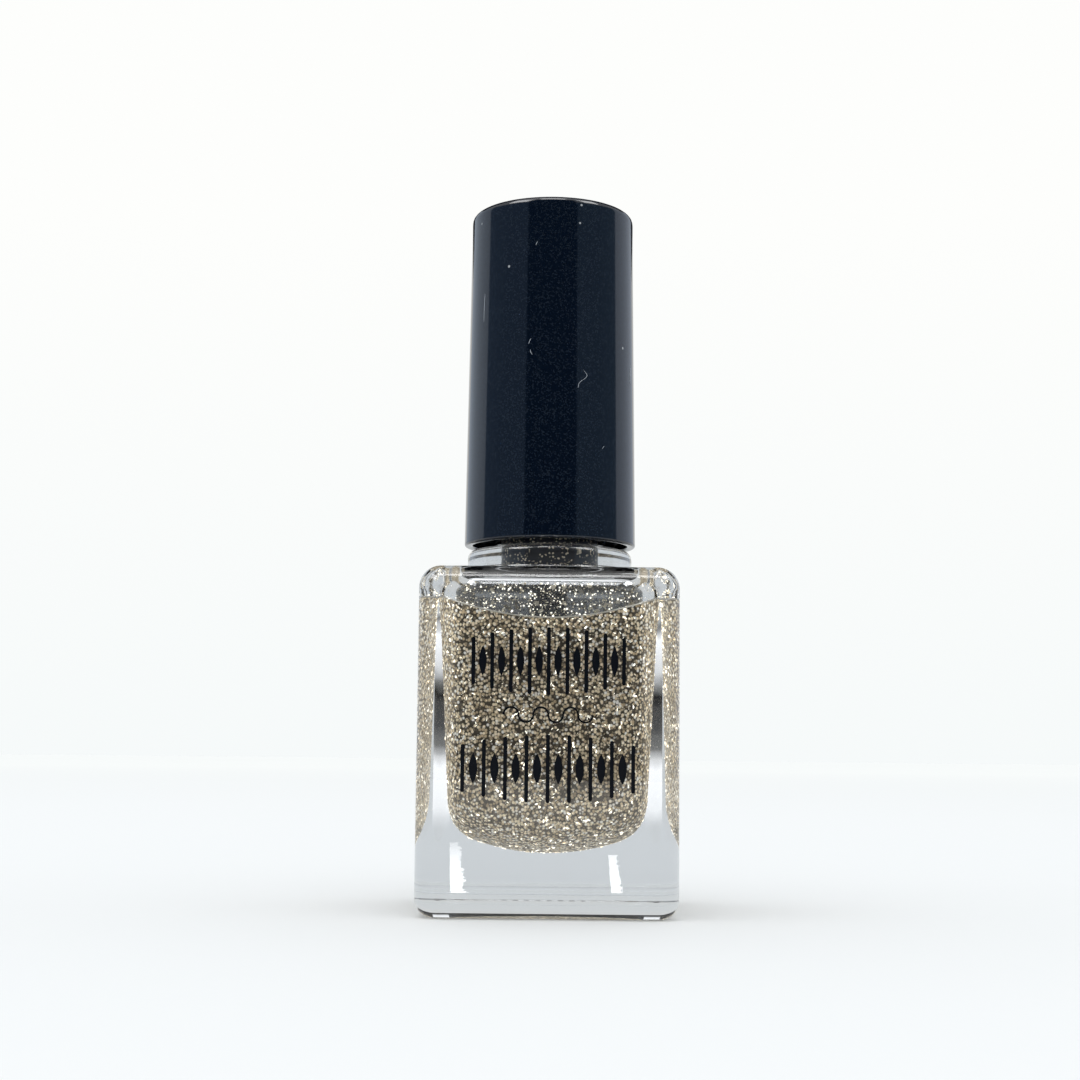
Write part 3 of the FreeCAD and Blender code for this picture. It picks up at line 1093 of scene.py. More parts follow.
    def inside(self, angle: np.ndarray) -> list[np.ndarray]:
        """Rings of the cavity from its ceiling, round its top edge and down to the floor's middle.

        Args:
            angle: Directions of the ring's points, in radians.

        Returns:
            The rings, in order.
        """
        cavity = self.cavity
        rings = []
        for a in quarter(10):
            inset = cavity.ceiling_round * (1 - math.sin(a))
            z = cavity.ceiling_z - cavity.ceiling_round * (1 - math.cos(a))
            rings.append(cavity.wall(z, angle, -inset))
        top = cavity.ceiling_z - cavity.ceiling_round
        foot = cavity.foot_z(angle)
        for share in (0.01, 0.2, 0.4, 0.6, 0.8, 0.99):
            rings.append(cavity.wall(top + share * (foot - top), angle))
        rings += list(cavity.foot_rings(angle))
        return rings

    def build(self) -> bpy.types.Object:
        """Builds and dresses the glass.

        Returns:
            The glass.
        """
        angle = around(SEGMENTS, 0.6)
        rings = np.stack(self.outside(angle) + self.collar_and_neck(angle) + self.inside(angle))
        glass = surface_mesh("glass_bottle", rings, True, True)
        dress(glass, self.finish.material())
        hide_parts("bottle")
        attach(glass, Body.BOTTLE.value)
        report(glass, Body.BOTTLE)
        return glass


@dataclass
class Polish:
    """The filling: a body of lacquer with its contact line, loose flakes and a film above it."""

    cavity: Cavity
    neck_top: float
    bore_radius: float
    overlap: float = 0.03 * MM
    line_dip: float = 0.85 * MM
    line_rise: float = 2.1 * MM
    meniscus: float = 1.3 * MM
    flake_count: int = 26000
    flake_size: float = 0.128 * MM
    stray_count: int = 2600
    bead_radius: float = 0.08 * MM
    meniscus_shares: tuple[float, ...] = (
        0.995, 0.985, 0.97, 0.95, 0.92, 0.88, 0.83, 0.76, 0.66, 0.5, 0.3, 0.1,
    )
    film_above_ceiling: float = 0.6 * MM
    film_below_lip: float = 4.2 * MM

    def __post_init__(self) -> None:
        """Takes the level from the model's own polish."""
        self.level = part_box("polish")[1].z

    def contact_line(self, angle: np.ndarray) -> np.ndarray:
        """Height of the polish on the wall: a curve that sags in the middle of the front and the back.

        It rises with the square of |x| over half the width, so it's high along both sides.

        Args:
            angle: Directions of the ring's points, in radians.

        Returns:
            The heights.
        """
        half = self.cavity.half(self.level)
        along = np.abs(rounded_reach(half, self.cavity.corner, angle) * np.cos(angle))
        return self.level - self.line_dip + self.line_rise * (along / half) ** 2

    def outer_rings(self, angle: np.ndarray) -> np.ndarray:
        """Rings of the skin against the glass, from the middle of the floor up to the contact line.

        Args:
            angle: Directions of the ring's points, in radians.

        Returns:
            The rings, in order.
        """
        floor = self.cavity.foot_rings(angle, self.overlap)[::-1]
        foot = self.cavity.foot_z(angle)
        line = self.contact_line(angle)
        walls = []
        for share in np.linspace(0.03, 1.0, 18):
            z = foot + share * (line - foot)
            walls.append(self.cavity.wall(z, angle, self.overlap))
        return np.concatenate([floor, np.stack(walls)])

    def top_rings(self, angle: np.ndarray) -> np.ndarray:
        """Rings of the free surface, which falls from the contact line to its level.

        Its height above the level fades as exp(-distance / meniscus), where the distance is measured
        from the wall.

        Args:
            angle: Directions of the ring's points, in radians.

        Returns:
            The rings, from the wall inwards.
        """
        line = self.contact_line(angle)
        reach = self.cavity.reach(line, angle, self.overlap)
        base = self.level - self.line_dip
        rings = []
        for share in self.meniscus_shares:
            fall = np.exp(-(1 - share) * reach / self.meniscus)
            rings.append(ring(reach * share, base + (line - base) * fall, angle))
        return np.stack(rings)

    def build_body(self) -> bpy.types.Object:
        """Builds and dresses the mass of polish.

        Returns:
            The mass of polish.
        """
        angle = around(SEGMENTS, 0.6)
        rings = np.concatenate([self.outer_rings(angle), self.top_rings(angle)])
        body = surface_mesh("polish_body", rings, True, True)
        dress(body, GlitterFinish().material())
        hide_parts("polish")
        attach(body, Body.BOTTLE.value)
        report(body, Body.BOTTLE)
        return body

    def scatter(self, rings: np.ndarray, count: int) -> tuple[np.ndarray, np.ndarray]:
        """Random points on a skin of rings, evenly by area, with the skin's outward normals.

        A quad is drawn with a chance equal to its share of the area, and a point in it by blending
        its four corners.

        Args:
            rings: The skin.
            count: How many points.

        Returns:
            Points and unit normals.
        """
        a, b = rings[:-1], rings[1:]
        c, d = np.roll(b, -1, 1), np.roll(a, -1, 1)
        normal = np.cross(c - a, b - d).reshape(-1, 3)
        area = np.linalg.norm(normal, axis=1)
        chosen = RANDOM.choice(len(area), count, p=area / area.sum())
        u, v = RANDOM.random((2, count, 1))
        corners = [p.reshape(-1, 3)[chosen] for p in (a, b, c, d)]
        near = (1 - v) * corners[0] + v * corners[1]
        far = (1 - v) * corners[3] + v * corners[2]
        return (1 - u) * near + u * far, -normal[chosen] / area[chosen, None]

    def flakes(
        self, name: str, points: np.ndarray, normals: np.ndarray, size: float, tip: float, lift: float
    ) -> bpy.types.Object:
        """Six-sided flakes lying about the points, each turned, tipped and sized at random.

        A flake's corners are its centre plus size (cos t u + sin t v), where u and v span the plane
        across its own tipped normal.

        Args:
            name: The piece's name.
            points: Centres.
            normals: Directions that the flakes face on average.
            size: Mean distance from centre to corner.
            tip: How far the normals are tipped, as a share of their length.
            lift: How far the centres move along the normals at most.

        Returns:
            The piece, with a random tint on each face.
        """
        count = len(points)
        tipped = normals + tip * RANDOM.normal(size=(count, 3))
        tipped /= np.linalg.norm(tipped, axis=1)[:, None]
        helper = RANDOM.normal(size=(count, 3))
        u = np.cross(tipped, helper)
        u /= np.linalg.norm(u, axis=1)[:, None]
        v = np.cross(tipped, u)
        turn = np.arange(FLAKE_SIDES) * 2 * math.pi / FLAKE_SIDES
        tints = RANDOM.beta(1.4, 1.0, count)
        sizes = size * (0.50 + 0.50 * RANDOM.random(count) + 0.95 * tints**9)[:, None, None]
        centres = points + normals * lift * RANDOM.random((count, 1))
        spokes = np.cos(turn)[None, :, None] * u[:, None] + np.sin(turn)[None, :, None] * v[:, None]
        corners = centres[:, None] + sizes * spokes
        faces = np.arange(count * FLAKE_SIDES).reshape(-1, FLAKE_SIDES)
        piece = mesh_object(name, corners.reshape(-1, 3), [faces], smooth=False)
        give_attribute(piece, "flake_tint", tints)
        return piece

    def build_flakes(self, material: bpy.types.Material) -> bpy.types.Object:
        """Builds the flakes that press against the glass all round and lie on the free surface.

        Args:
            material: The flakes' material.

        Returns:
            The flakes, as one piece.
        """
        angle = around(96, 0.4)
        rings = np.concatenate([self.outer_rings(angle), self.top_rings(angle)])
        points, normals = self.scatter(rings, self.flake_count)
        piece = self.flakes("glitter_flakes", points, normals, self.flake_size, 0.24, 0.06 * MM)
        dress(piece, material)
        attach(piece, Body.BOTTLE.value)
        report(piece, Body.BOTTLE)
        return piece

    def build_film(self, material: bpy.types.Material) -> None:
        """Builds the smear that clings to the glass above the contact line, and its stray flakes.

        Args:
            material: The stray flakes' material.
        """
        angle = around(128, 0.5)
        line = self.contact_line(angle)
        cavity = self.cavity
        top = cavity.ceiling_z - cavity.ceiling_round
        rings = []
        for share in np.linspace(0.0, 1.0, 8):
            z = line + share * (top - line)
            reach = rounded_reach(cavity.half(z) - self.overlap, cavity.corner, angle)
            rings.append(ring(reach, z, angle))
        for a in quarter(8)[1:4]:
            inset = cavity.ceiling_round * (1 - math.cos(a)) + self.overlap
            z = top + (cavity.ceiling_round - self.overlap) * math.sin(a)
            rings.append(cavity.wall(z, angle, -inset))
        skin = np.stack(rings)
        film = surface_mesh("lacquer_film", skin, False, False)
        dress(film, FilmFinish().material())
        points, normals = self.scatter(skin, self.stray_count)
        strays = self.flakes("stray_flakes", points, -normals, self.flake_size * 0.48, 0.3, 0.05 * MM)
        dress(strays, material)
        bead, neck = self.build_bead(), self.build_neck_film()
        for piece in (film, strays, bead, neck):
            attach(piece, Body.BOTTLE.value)
            report(piece, Body.BOTTLE)

    def build_neck_film(self) -> bpy.types.Object:
        """Builds the darker film of lacquer that wets the bore, where the brush is wiped: a plain tube.

        Returns:
            The tube.
        """
        angle = around(96)
        low, high = self.cavity.ceiling_z + self.film_above_ceiling, self.neck_top - self.film_below_lip
        radius = self.bore_radius + self.overlap
        rings = np.stack([ring(radius, z, angle) for z in np.linspace(low, high, 12)])
        tube = surface_mesh("neck_film", rings[::-1], False, False)
        finish = FilmFinish("neck_lacquer", colour=(0.016, 0.020, 0.030), cover=1.1, specks=7000.0)
        dress(tube, finish.material())
        return tube

    def build_bead(self) -> bpy.types.Object:
        """Builds the thin bead of lacquer along the contact line; its pale colour is a painted highlight,
        standing in for the bright line of the meniscus.

        Its centre follows the contact line on the wall; its section is a circle in the plane through
        the axis.

        Returns:
            The bead.
        """
        angle = around(SEGMENTS, 0.5)
        line = self.contact_line(angle)
        reach = self.cavity.reach(line, angle)
        turn = np.arange(10) * 2 * math.pi / 10
        r = self.bead_radius
        rings = [ring(reach - r * math.cos(t), line - r * math.sin(t), angle) for t in turn]
        bead = surface_mesh("contact_bead", np.stack(rings), False, False, closed=True)
        # Painted highlight: the bead is a pale opaque colour, standing in for the bright line that the
        # meniscus shows.
        dress(bead, PlasticFinish("lacquer_bead_painted_highlight", (0.50, 0.47, 0.41), 0.16).material())
        return bead


@dataclass
class Cap:
    """The outer cap and the threaded inner cap that turns with it."""

    wall: float = 0.85 * MM
    top_thickness: float = 1.2 * MM
    taper: float = 0.024
    top_edge: float = 0.7 * MM
    ribs: int = 12
    rib_width: float = 0.8 * MM
    thread_clearance: float = 0.15 * MM
    snap_radius: float = 2.23 * MM
    inner_wall: float = 0.6 * MM
    inner_ceiling: float = 1.2 * MM
    fibre_radius: float = 0.03 * MM
    fibre_lift: float = 0.01 * MM

    def __post_init__(self) -> None:
        """Takes the cap's place from the model."""
        low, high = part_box("overcap")
        self.rim_z, self.top_z = low.z, high.z
        self.rim_radius = (high.x - low.x) / 2
        inner_low, inner_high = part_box("inner_cap")
        self.inner_low_z, self.inner_top_z = inner_low.z, inner_high.z

    def radius(self, z: float | np.ndarray) -> float | np.ndarray:
        """Outer radius at a height, on a straight taper."""
        return self.rim_radius - self.taper / 2 * (z - self.rim_z)

    def build_overcap(self) -> bpy.types.Object:
        """Builds the outer shell: up the outside, over the top edge, and back down the inside.

        Returns:
            The shell.
        """
        ceiling = self.top_z - self.top_thickness
        outline = [
            (0.0, ceiling),
            (self.radius(ceiling) - self.wall, ceiling),
            (self.rim_radius - self.wall, self.rim_z),
            (self.rim_radius, self.rim_z),
            (self.radius(self.top_z), self.top_z),
            (0.0, self.top_z),
        ]
        fine = softened(outline, [0, 0.5 * MM, 0.25 * MM, 0.25 * MM, self.top_edge, 0])
        shell = lathe("overcap_shell", fine, SEGMENTS)
        dress(shell, CapFinish().material())
        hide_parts("overcap")
        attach(shell, Body.CAP.value)
        report(shell, Body.CAP)
        return shell

    def build_lint(self) -> bpy.types.Object:
        """Builds the few fibres of dust that cling to the gloss.

        Each is a thin five-sided tube along a path on the cap: its height runs evenly over its length
        and its distance round the cap is lean t + curl t squared + wave sin 4 t, with t from -1 to 1.

        Returns:
            The fibres, as one piece.
        """
        fibres = np.array([
            (-54.0, 60.1, 1.50, 0.05, 0.02, 0.00),
            (-15.0, 55.9, 0.28, 0.12, 0.05, 0.00),
            (-14.0, 54.8, 0.26, -0.10, 0.06, 0.00),
            (22.0, 52.2, 0.95, 0.45, -0.35, 0.22),
            (70.0, 53.8, 1.00, 0.04, 0.02, 0.03),
            (37.0, 45.6, 0.15, 0.12, 0.00, 0.00),
            (-11.0, 65.8, 0.20, 0.10, 0.04, 0.00),
            (150.0, 58.0, 0.80, 0.30, 0.20, 0.10),
            (-130.0, 49.0, 0.30, 0.20, 0.10, 0.00),
        ])
        turn, height, half, lean, curl, wave = (column[:, None] for column in fibres.T)
        t = np.linspace(-1, 1, 15)[None]
        z = (height + half * t) * MM
        reach = self.radius(z) + self.fibre_lift
        angle = np.radians(turn - 90) + (lean * t + curl * t**2 + wave * np.sin(4 * t)) * MM / reach
        side = np.arange(TUBE_SIDES) * 2 * math.pi / TUBE_SIDES
        thin = self.fibre_radius * np.sqrt(1.02 - t**2)
        out = (reach + 0 * t)[:, :, None] + thin[:, :, None] * np.cos(side)
        round_angle = angle[:, :, None] + thin[:, :, None] * np.sin(side) / reach[:, :, None]
        x, y = out * np.cos(round_angle), out * np.sin(round_angle)
        points = np.stack([x, y, z[:, :, None] + 0 * out], axis=3)
        index = np.arange(points[..., 0].size).reshape(points.shape[:3])
        low, high = index[:, :-1], index[:, 1:]
        quads = np.stack([low, np.roll(low, -1, 2), np.roll(high, -1, 2), high], axis=3).reshape(-1, 4)
        ends = np.concatenate([index[:, 0, ::-1], index[:, -1]])
        lint = mesh_object("cap_lint", points.reshape(-1, 3), [quads, ends])
        dress(lint, PlasticFinish("lint_fibre", (0.30, 0.33, 0.37), 0.6).material())
        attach(lint, Body.CAP.value)
        report(lint, Body.CAP)
        return lint

    def build_inner(self, thread: Thread, neck_radius: float) -> bpy.types.Object:
        """Builds the inner cap: ribs outside, thread inside and a hole for the stem's button.

        Outside, each rib adds to the radius where the angle is within its width. Inside, the thread's
        height is taken from the radius.

        Args:
            thread: The neck's thread.
            neck_radius: The neck's radius between the threads.

        Returns:
            The inner cap.
        """
        angle = around(288)
        root = neck_radius + thread.depth + self.thread_clearance
        wall = root + self.inner_wall
        pitch = 2 * math.pi / self.ribs
        off = np.abs(np.mod(angle + pitch / 2, pitch) - pitch / 2) * wall
        rib = np.clip((self.rib_width / 2 + 0.06 * MM - off) / (0.12 * MM), 0, 1)
        cap_thread = Thread(foot_z=thread.foot_z - thread.pitch / 2)
        ceiling = self.inner_top_z - self.inner_ceiling
        rings = [ring(self.snap_radius, ceiling, angle), ring(root - 0.3 * MM, ceiling, angle)]
        for z in np.linspace(ceiling - 0.2 * MM, self.inner_low_z + 0.1 * MM, 90):
            rings.append(ring(root - cap_thread.height(angle, z), z, angle))
        rings.append(ring(root, self.inner_low_z, angle))
        for z in np.linspace(self.inner_low_z, self.inner_top_z, 6):
            reach = wall + rib * (self.radius(z) - self.wall - wall)
            rings.append(ring(reach, z, angle))
        rings.append(ring(wall - 0.2 * MM, self.inner_top_z, angle))
        rings.append(ring(self.snap_radius, self.inner_top_z, angle))
        inner = surface_mesh("inner_closure", np.stack(rings), False, False, closed=True)
        finish = PlasticFinish("closure_plastic", (0.022, 0.023, 0.027), 0.42)
        dress(inner, finish.material())
        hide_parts("inner_cap")
        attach(inner, Body.CAP.value)
        report(inner, Body.CAP)
        return inner


@dataclass
class Brush:
    """The stem with its button, flange and plug, the bristles, and the polish they carry."""

    spacing: float = 0.15 * MM
    filament_radius: float = 0.055 * MM
    bundle_rings: int = 8
    spread: float = 1.45
    rounding: float = 1.5 * MM
    root_scatter: float = 0.012 * MM
    tip_scatter: float = 0.25 * MM
    load_flakes: int = 3200
    load_top: float = 5.0 * MM
    plug_radius: float = 3.12 * MM
    plug_length: float = 3.6 * MM
    flange_thickness: float = 1.0 * MM
    button_bead: float = 0.7 * MM
    liner_hole: float = 3.2 * MM

    def __post_init__(self) -> None:
        """Takes the brush's place from the model."""
        low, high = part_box("brush_stem")
        self.tip_z, self.button_z = low.z, high.z
        self.liner_low, self.liner_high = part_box("seal_liner")
        self.bristle_low, self.bristle_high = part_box("bristles")
        self.flange_radius = (high.x - low.x) / 2

    def build_stem(self) -> bpy.types.Object:
        """Builds the moulded stem as one turned outline with softened corners.

        Returns:
            The stem.
        """
        plug_foot = self.liner_low.z - self.plug_length
        flange_low, flange_top = self.liner_high.z, self.liner_high.z + self.flange_thickness
        bead = self.button_z - self.button_bead
        outline = [
            (1.15 * MM, self.tip_z + 2.4 * MM),
            (1.45 * MM, self.tip_z + 0.1 * MM),
            (1.5 * MM, self.tip_z),
            (1.7 * MM, self.tip_z),
            (1.9 * MM, plug_foot - 1.0 * MM),
            (self.plug_radius, plug_foot),
            (self.plug_radius, flange_low),
            (self.flange_radius, flange_low),
            (self.flange_radius, flange_top),
            (2.15 * MM, flange_top),
            (2.15 * MM, bead),
            (2.45 * MM, bead),
            (1.85 * MM, self.button_z),
            (0.0, self.button_z),
        ]
        sizes = [0, 0, 0, 0.06, 0.5, 0.25, 0.1, 0.15, 0.15, 0.1, 0.05, 0.08, 0.15, 0]
        stem = lathe("brush_stem_moulding", softened(outline, [s * MM for s in sizes]), 96)
        dress(stem, PlasticFinish("stem_plastic", (0.018, 0.018, 0.020), 0.24).material())
        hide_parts("brush_stem")
        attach(stem, Body.BRUSH.value)
        report(stem, Body.BRUSH)
        return stem

    def _roots(self) -> np.ndarray:
        """Places of the filaments: a close-packed triangular grid inside a circle.

        Returns:
            Points as (x, y), one for each filament.
        """
        n = np.arange(-self.bundle_rings, self.bundle_rings + 1)
        column, row = np.meshgrid(n, n)
        x = (column + row * 0.5) * self.spacing
        y = row * self.spacing * math.sqrt(0.75)
        limit = (self.bristle_high.x - self.bristle_low.x) / 2 / self.spread - self.filament_radius
        inside = np.hypot(x, y) < limit
        return np.stack([x[inside], y[inside]], axis=1)

    def build_bristles(self) -> bpy.types.Object:
        """Builds fine filaments, each a five-sided tube along a gently bowed path.

        A filament's offset from the axis grows from its root to its tip by the spread, eased as the
        square of the way down, and its tip is higher the further out it grows.

        Returns:
            The filaments, as one piece.
        """
        roots = self._roots()
        roots = roots + RANDOM.normal(0, self.root_scatter, roots.shape)
        count = len(roots)
        out = np.hypot(roots[:, 0], roots[:, 1])
        tips = self.bristle_low.z + self.rounding * (out / out.max()) ** 2
        tips = tips + RANDOM.uniform(0, self.tip_scatter, count)
        share = np.linspace(0, 1, 8)
        z = self.bristle_high.z + share[None] * (tips - self.bristle_high.z)[:, None]
        growth = 1 + (self.spread - 1) * share[None] ** 1.5 * RANDOM.uniform(0.85, 1.0, (count, 1))
        centre = np.stack([roots[:, :1] * growth, roots[:, 1:] * growth, z], axis=2)
        thin = np.where(share > 0.99, 0.45, 1.0) * self.filament_radius
        side = np.arange(TUBE_SIDES) * 2 * math.pi / TUBE_SIDES
        circle = np.stack([np.cos(side), np.sin(side), np.zeros(TUBE_SIDES)], axis=1)
        points = centre[:, :, None] + thin[None, :, None, None] * circle[None, None]
        rows = len(share)
        index = np.arange(count * rows * TUBE_SIDES).reshape(count, rows, TUBE_SIDES)
        low, high = index[:, 1:], index[:, :-1]
        quads = np.stack([low, np.roll(low, -1, 2), np.roll(high, -1, 2), high], axis=3).reshape(-1, 4)
        ends = index[:, -1, ::-1].reshape(-1, TUBE_SIDES)
        tuft = mesh_object("bristle_tuft", points.reshape(-1, 3), [quads, ends])
        dress(tuft, PlasticFinish("bristle_nylon", (0.020, 0.019, 0.018), 0.3).material())
        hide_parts("bristles")
        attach(tuft, Body.BRUSH.value)
        report(tuft, Body.BRUSH)
        return tuft

    def build_load(self, polish: Polish, material: bpy.types.Material) -> bpy.types.Object:
        """Builds the flakes that cling to the wet bristles and the end of the stem.

        Args:
            polish: The filling, which scatters the flakes.
            material: The flakes' material.

        Returns:
            The flakes, as one piece.
        """
        angle = around(48)
        low, high = self.bristle_low.z + 0.2 * MM, self.liner_low.z - self.load_top
        reach = (self.bristle_high.x - self.bristle_low.x) / 2
        stem = (self.tip_z - low) / (high - low)
        shares = np.linspace(0, 1, 32)
        at = [0, 0.04, 0.12, stem - 0.01, stem + 0.01, 1.0]
        outline = np.interp(shares, at, [0.35, 0.8, 0.98, 0.86, 0.93, 1.0]) * reach
        rings = np.stack([ring(r, low + s * (high - low), angle) for r, s in zip(outline, shares)])
        points, normals = polish.scatter(rings, self.load_flakes)
        load = polish.flakes("brush_glitter", points, normals, polish.flake_size * 0.48, 0.3, 0.02 * MM)
        dress(load, material)
        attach(load, Body.BRUSH.value)
        report(load, Body.BRUSH)
        return load

    def build_liner(self) -> bpy.types.Object:
        """Builds the soft washer with pressed, rounded edges.

        Returns:
            The washer.
        """
        outer = (self.liner_high.x - self.liner_low.x) / 2
        low, high = self.liner_low.z, self.liner_high.z
        hole = self.liner_hole
        outline = [
            (hole + 0.5 * MM, low),
            (outer, low),
            (outer, high),
            (hole, high),
            (hole, low),
            (hole + 0.5 * MM, low),
        ]
        fine = softened(outline, [0, 0.15 * MM, 0.15 * MM, 0.1 * MM, 0.1 * MM, 0])[:-1]
        liner = lathe("liner_washer", fine, 96, closed=True)
        dress(liner, PlasticFinish("seal_foam", (0.66, 0.66, 0.64), 0.7, 0.00006).material())
        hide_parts("seal_liner")
        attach(liner, Body.SEAL.value)
        report(liner, Body.SEAL)
        return liner


@dataclass
class MixingBall:
    """One polished steel ball."""

    node: str
    body: Body

    def build(self, material: bpy.types.Material) -> bpy.types.Object:
        """Builds the ball: rings of radius r sin a at heights r cos a about its centre.

        Args:
            material: The steel.

        Returns:
            The ball.
        """
        low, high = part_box(self.node)
        centre = (np.array(low) + np.array(high)) / 2
        radius = (high.z - low.z) / 2
        angle = around(48)
        tilt = np.linspace(math.pi, 0, 26)[1:-1]
        rings = np.stack([ring(radius * math.sin(a), radius * math.cos(a), angle) for a in tilt]) + centre
        ball = surface_mesh(f"steel_{self.node}", rings, True, True)
        dress(ball, material)
        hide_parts(self.node)
        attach(ball, self.body.value)
        report(ball, self.body)
        return ball


@dataclass
class Trim:
    """The printed ornament, the sticker underneath and the staple, which keep the model's own shapes."""

    def dress_all(self) -> None:
        """Dresses each of them."""
        low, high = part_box("bottom_label")
        finishes = {
            "front_print": (InkFinish().material(), "print_ink"),
            "bottom_label": (LabelFinish((high.x - low.x) / 2).material(), "label_paper"),
            "brush_staple": (MetalFinish("staple_wire", roughness=0.2).material(), "staple_wire"),
        }
        for node, (material, slot) in finishes.items():
            dress(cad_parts[node], material)
            LOG.info("%s dressed with %s", node, slot)


# --- Studio ---------------------------------------------------------------------------------


def unseen(piece: bpy.types.Object, glossy: bool = True, through_glass: bool = True) -> None:
    """Keeps a staged piece from the camera, from diffuse light and from casting shadows.

    Args:
        piece: The panel, ribbon or strip.
        glossy: Gloss still mirrors it.
        through_glass: It still shows through glass.
    """
    piece.visible_camera = piece.visible_diffuse = piece.visible_shadow = False
    piece.visible_glossy = glossy
    piece.visible_transmission = through_glass


@dataclass
class Panel:
    """A dim curved wall that only gloss mirrors: a strip of a cylinder about the bottle."""

    name: str
    start: float
    end: float
    high: float
    glow: COLOUR
    low: float = 0.0
    radius: float = 0.9

    def build(self) -> bpy.types.Object:
        """Builds the wall, hidden from the camera; its angles run from the front, in degrees.

        Returns:
            The wall.
        """
        angle = np.radians(np.linspace(self.start, self.end, 24)) - math.pi / 2
        points = np.concatenate([ring(self.radius, z, angle) for z in (self.low, self.high)])
        n = np.arange(len(angle) - 1)
        faces = np.stack([n, n + 1, n + 1 + len(angle), n + len(angle)], axis=1)
        wall = mesh_object(self.name, points, [faces])
        paint = Paint(self.name)
        paint.set(
            Base_Color=BLACK,
            Roughness=1.0,
            Specular_IOR_Level=0.0,
            Emission_Color=self.glow,
            Emission_Strength=1.0,
        )
        wall.data.materials.append(paint.material)
        unseen(wall, through_glass=False)
        return wall


@dataclass
class Card:
    """A flat panel that only lights or darkens what is mirrored or seen through glass."""

    name: str
    centre: TRIPLE
    width: float
    height: float
    glow: float

    def build(self, target: Vector) -> bpy.types.Object:
        """Builds the panel facing a target, hidden from the camera.

        Args:
            target: The point that it faces.

        Returns:
            The card.
        """
        u, v = self.width / 2, self.height / 2
        corners = np.array([(-u, -v, 0), (u, -v, 0), (u, v, 0), (-u, v, 0)])
        facing = (target - Vector(self.centre)).to_track_quat("Z", "Y").to_matrix()
        points = corners @ np.array(facing).T + np.array(self.centre)
        card = mesh_object(self.name, points, [np.array([[0, 1, 2, 3]])], smooth=False)
        paint = Paint(self.name)
        paint.set(
            Base_Color=(0.01, 0.01, 0.012),
            Roughness=1.0,
            Specular_IOR_Level=0.0,
            Emission_Color=WHITE,
            Emission_Strength=self.glow,
        )
        card.data.materials.append(paint.material)
        unseen(card)
        return card


@dataclass
class Streak:
    """A bright ribbon on the floor in front, which only the front of the glass mirrors.

    Its ends are given in millimetres as the middle's x, y and half the width there.
    """

    name: str
    near: TRIPLE
    far: TRIPLE
    glow: float = 15.0
    rows: int = 60

    def build(self) -> bpy.types.Object:
        """Builds the ribbon: its edges run straight from end to end and wander at random.

        It dims with its distance from the bottle, so that its mirror image fades upwards on the glass.

        Returns:
            The ribbon.
        """
        rows, lift = self.rows, 0.2
        share = np.linspace(0, 1, rows) ** 2
        middle, y, half = (a + share * (b - a) for a, b in zip(self.near, self.far))
        left = middle - half * RANDOM.uniform(0.85, 1.05, rows)
        right = middle + half * RANDOM.uniform(0.55, 1.35, rows)
        edges = [np.stack([x, y, np.full(rows, lift)], axis=1) for x in (left, right)]
        n = np.arange(rows - 1)
        faces = np.stack([n, n + rows, n + 1 + rows, n + 1], axis=1)
        ribbon = mesh_object(self.name, np.concatenate(edges) * MM, [faces], smooth=False)
        paint = Paint(self.name)
        lit = paint.parts(paint.place())[1].above(-0.115, 0.09) * 0.8 + 0.2
        paint.set(
            Base_Color=BLACK,
            Emission_Color=paint.blend(lit, BLACK, WHITE),
            Emission_Strength=self.glow,
        )
        ribbon.data.materials.append(paint.material)
        unseen(ribbon, through_glass=False)
        return ribbon


@dataclass
class Backdrop:
    """A narrow upright strip behind the bottle, seen only through its glass, banded light and dark."""

    name: str
    left: float
    right: float
    back: float = 13.4 * MM
    low: float = 7.3 * MM
    high: float = 31 * MM

    def build(self) -> bpy.types.Object:
        """Builds the strip; its top and foot fade out and its bands follow its height.

        Returns:
            The strip.
        """
        points = np.array([
            (self.left, self.back, self.low),
            (self.right, self.back, self.low),
            (self.right, self.back, self.high),
            (self.left, self.back, self.high),
        ])
        screen = mesh_object(self.name, points, [np.array([[0, 1, 2, 3]])], smooth=False)
        paint = Paint(self.name)
        z = paint.parts(paint.place())[2]
        wobble = paint.noise(420.0, 2.0, 0.6) - 0.5
        height = (z - self.low) * (1 / (self.high - self.low)) + wobble * 0.10
        bands = paint.ramp(
            height,
            [
                (0.0, (1.2, 1.22, 1.24)),
                (0.10, (1.45, 1.46, 1.47)),
                (0.28, (1.7, 1.7, 1.7)),
                (0.38, (0.30, 0.30, 0.29)),
                (0.46, (0.13, 0.13, 0.13)),
                (0.57, (0.10, 0.10, 0.10)),
                (0.60, (0.03, 0.03, 0.03)),
                (0.64, (0.30, 0.30, 0.29)),
                (0.71, (1.2, 1.2, 1.2)),
                (0.86, (1.7, 1.7, 1.7)),
                (0.93, (0.16, 0.16, 0.16)),
                (1.0, (0.14, 0.14, 0.14)),
            ],
        )
        paint.set(
            Base_Color=BLACK,
            Specular_IOR_Level=0.0,
            Emission_Color=bands,
            Emission_Strength=1.0,
            Alpha=height.above(0.06, 0.08) * (1 - height.above(0.94, 0.04)),
        )
        paint.material.cycles.emission_sampling = "NONE"
        screen.data.materials.append(paint.material)
        unseen(screen, glossy=False)
        return screen


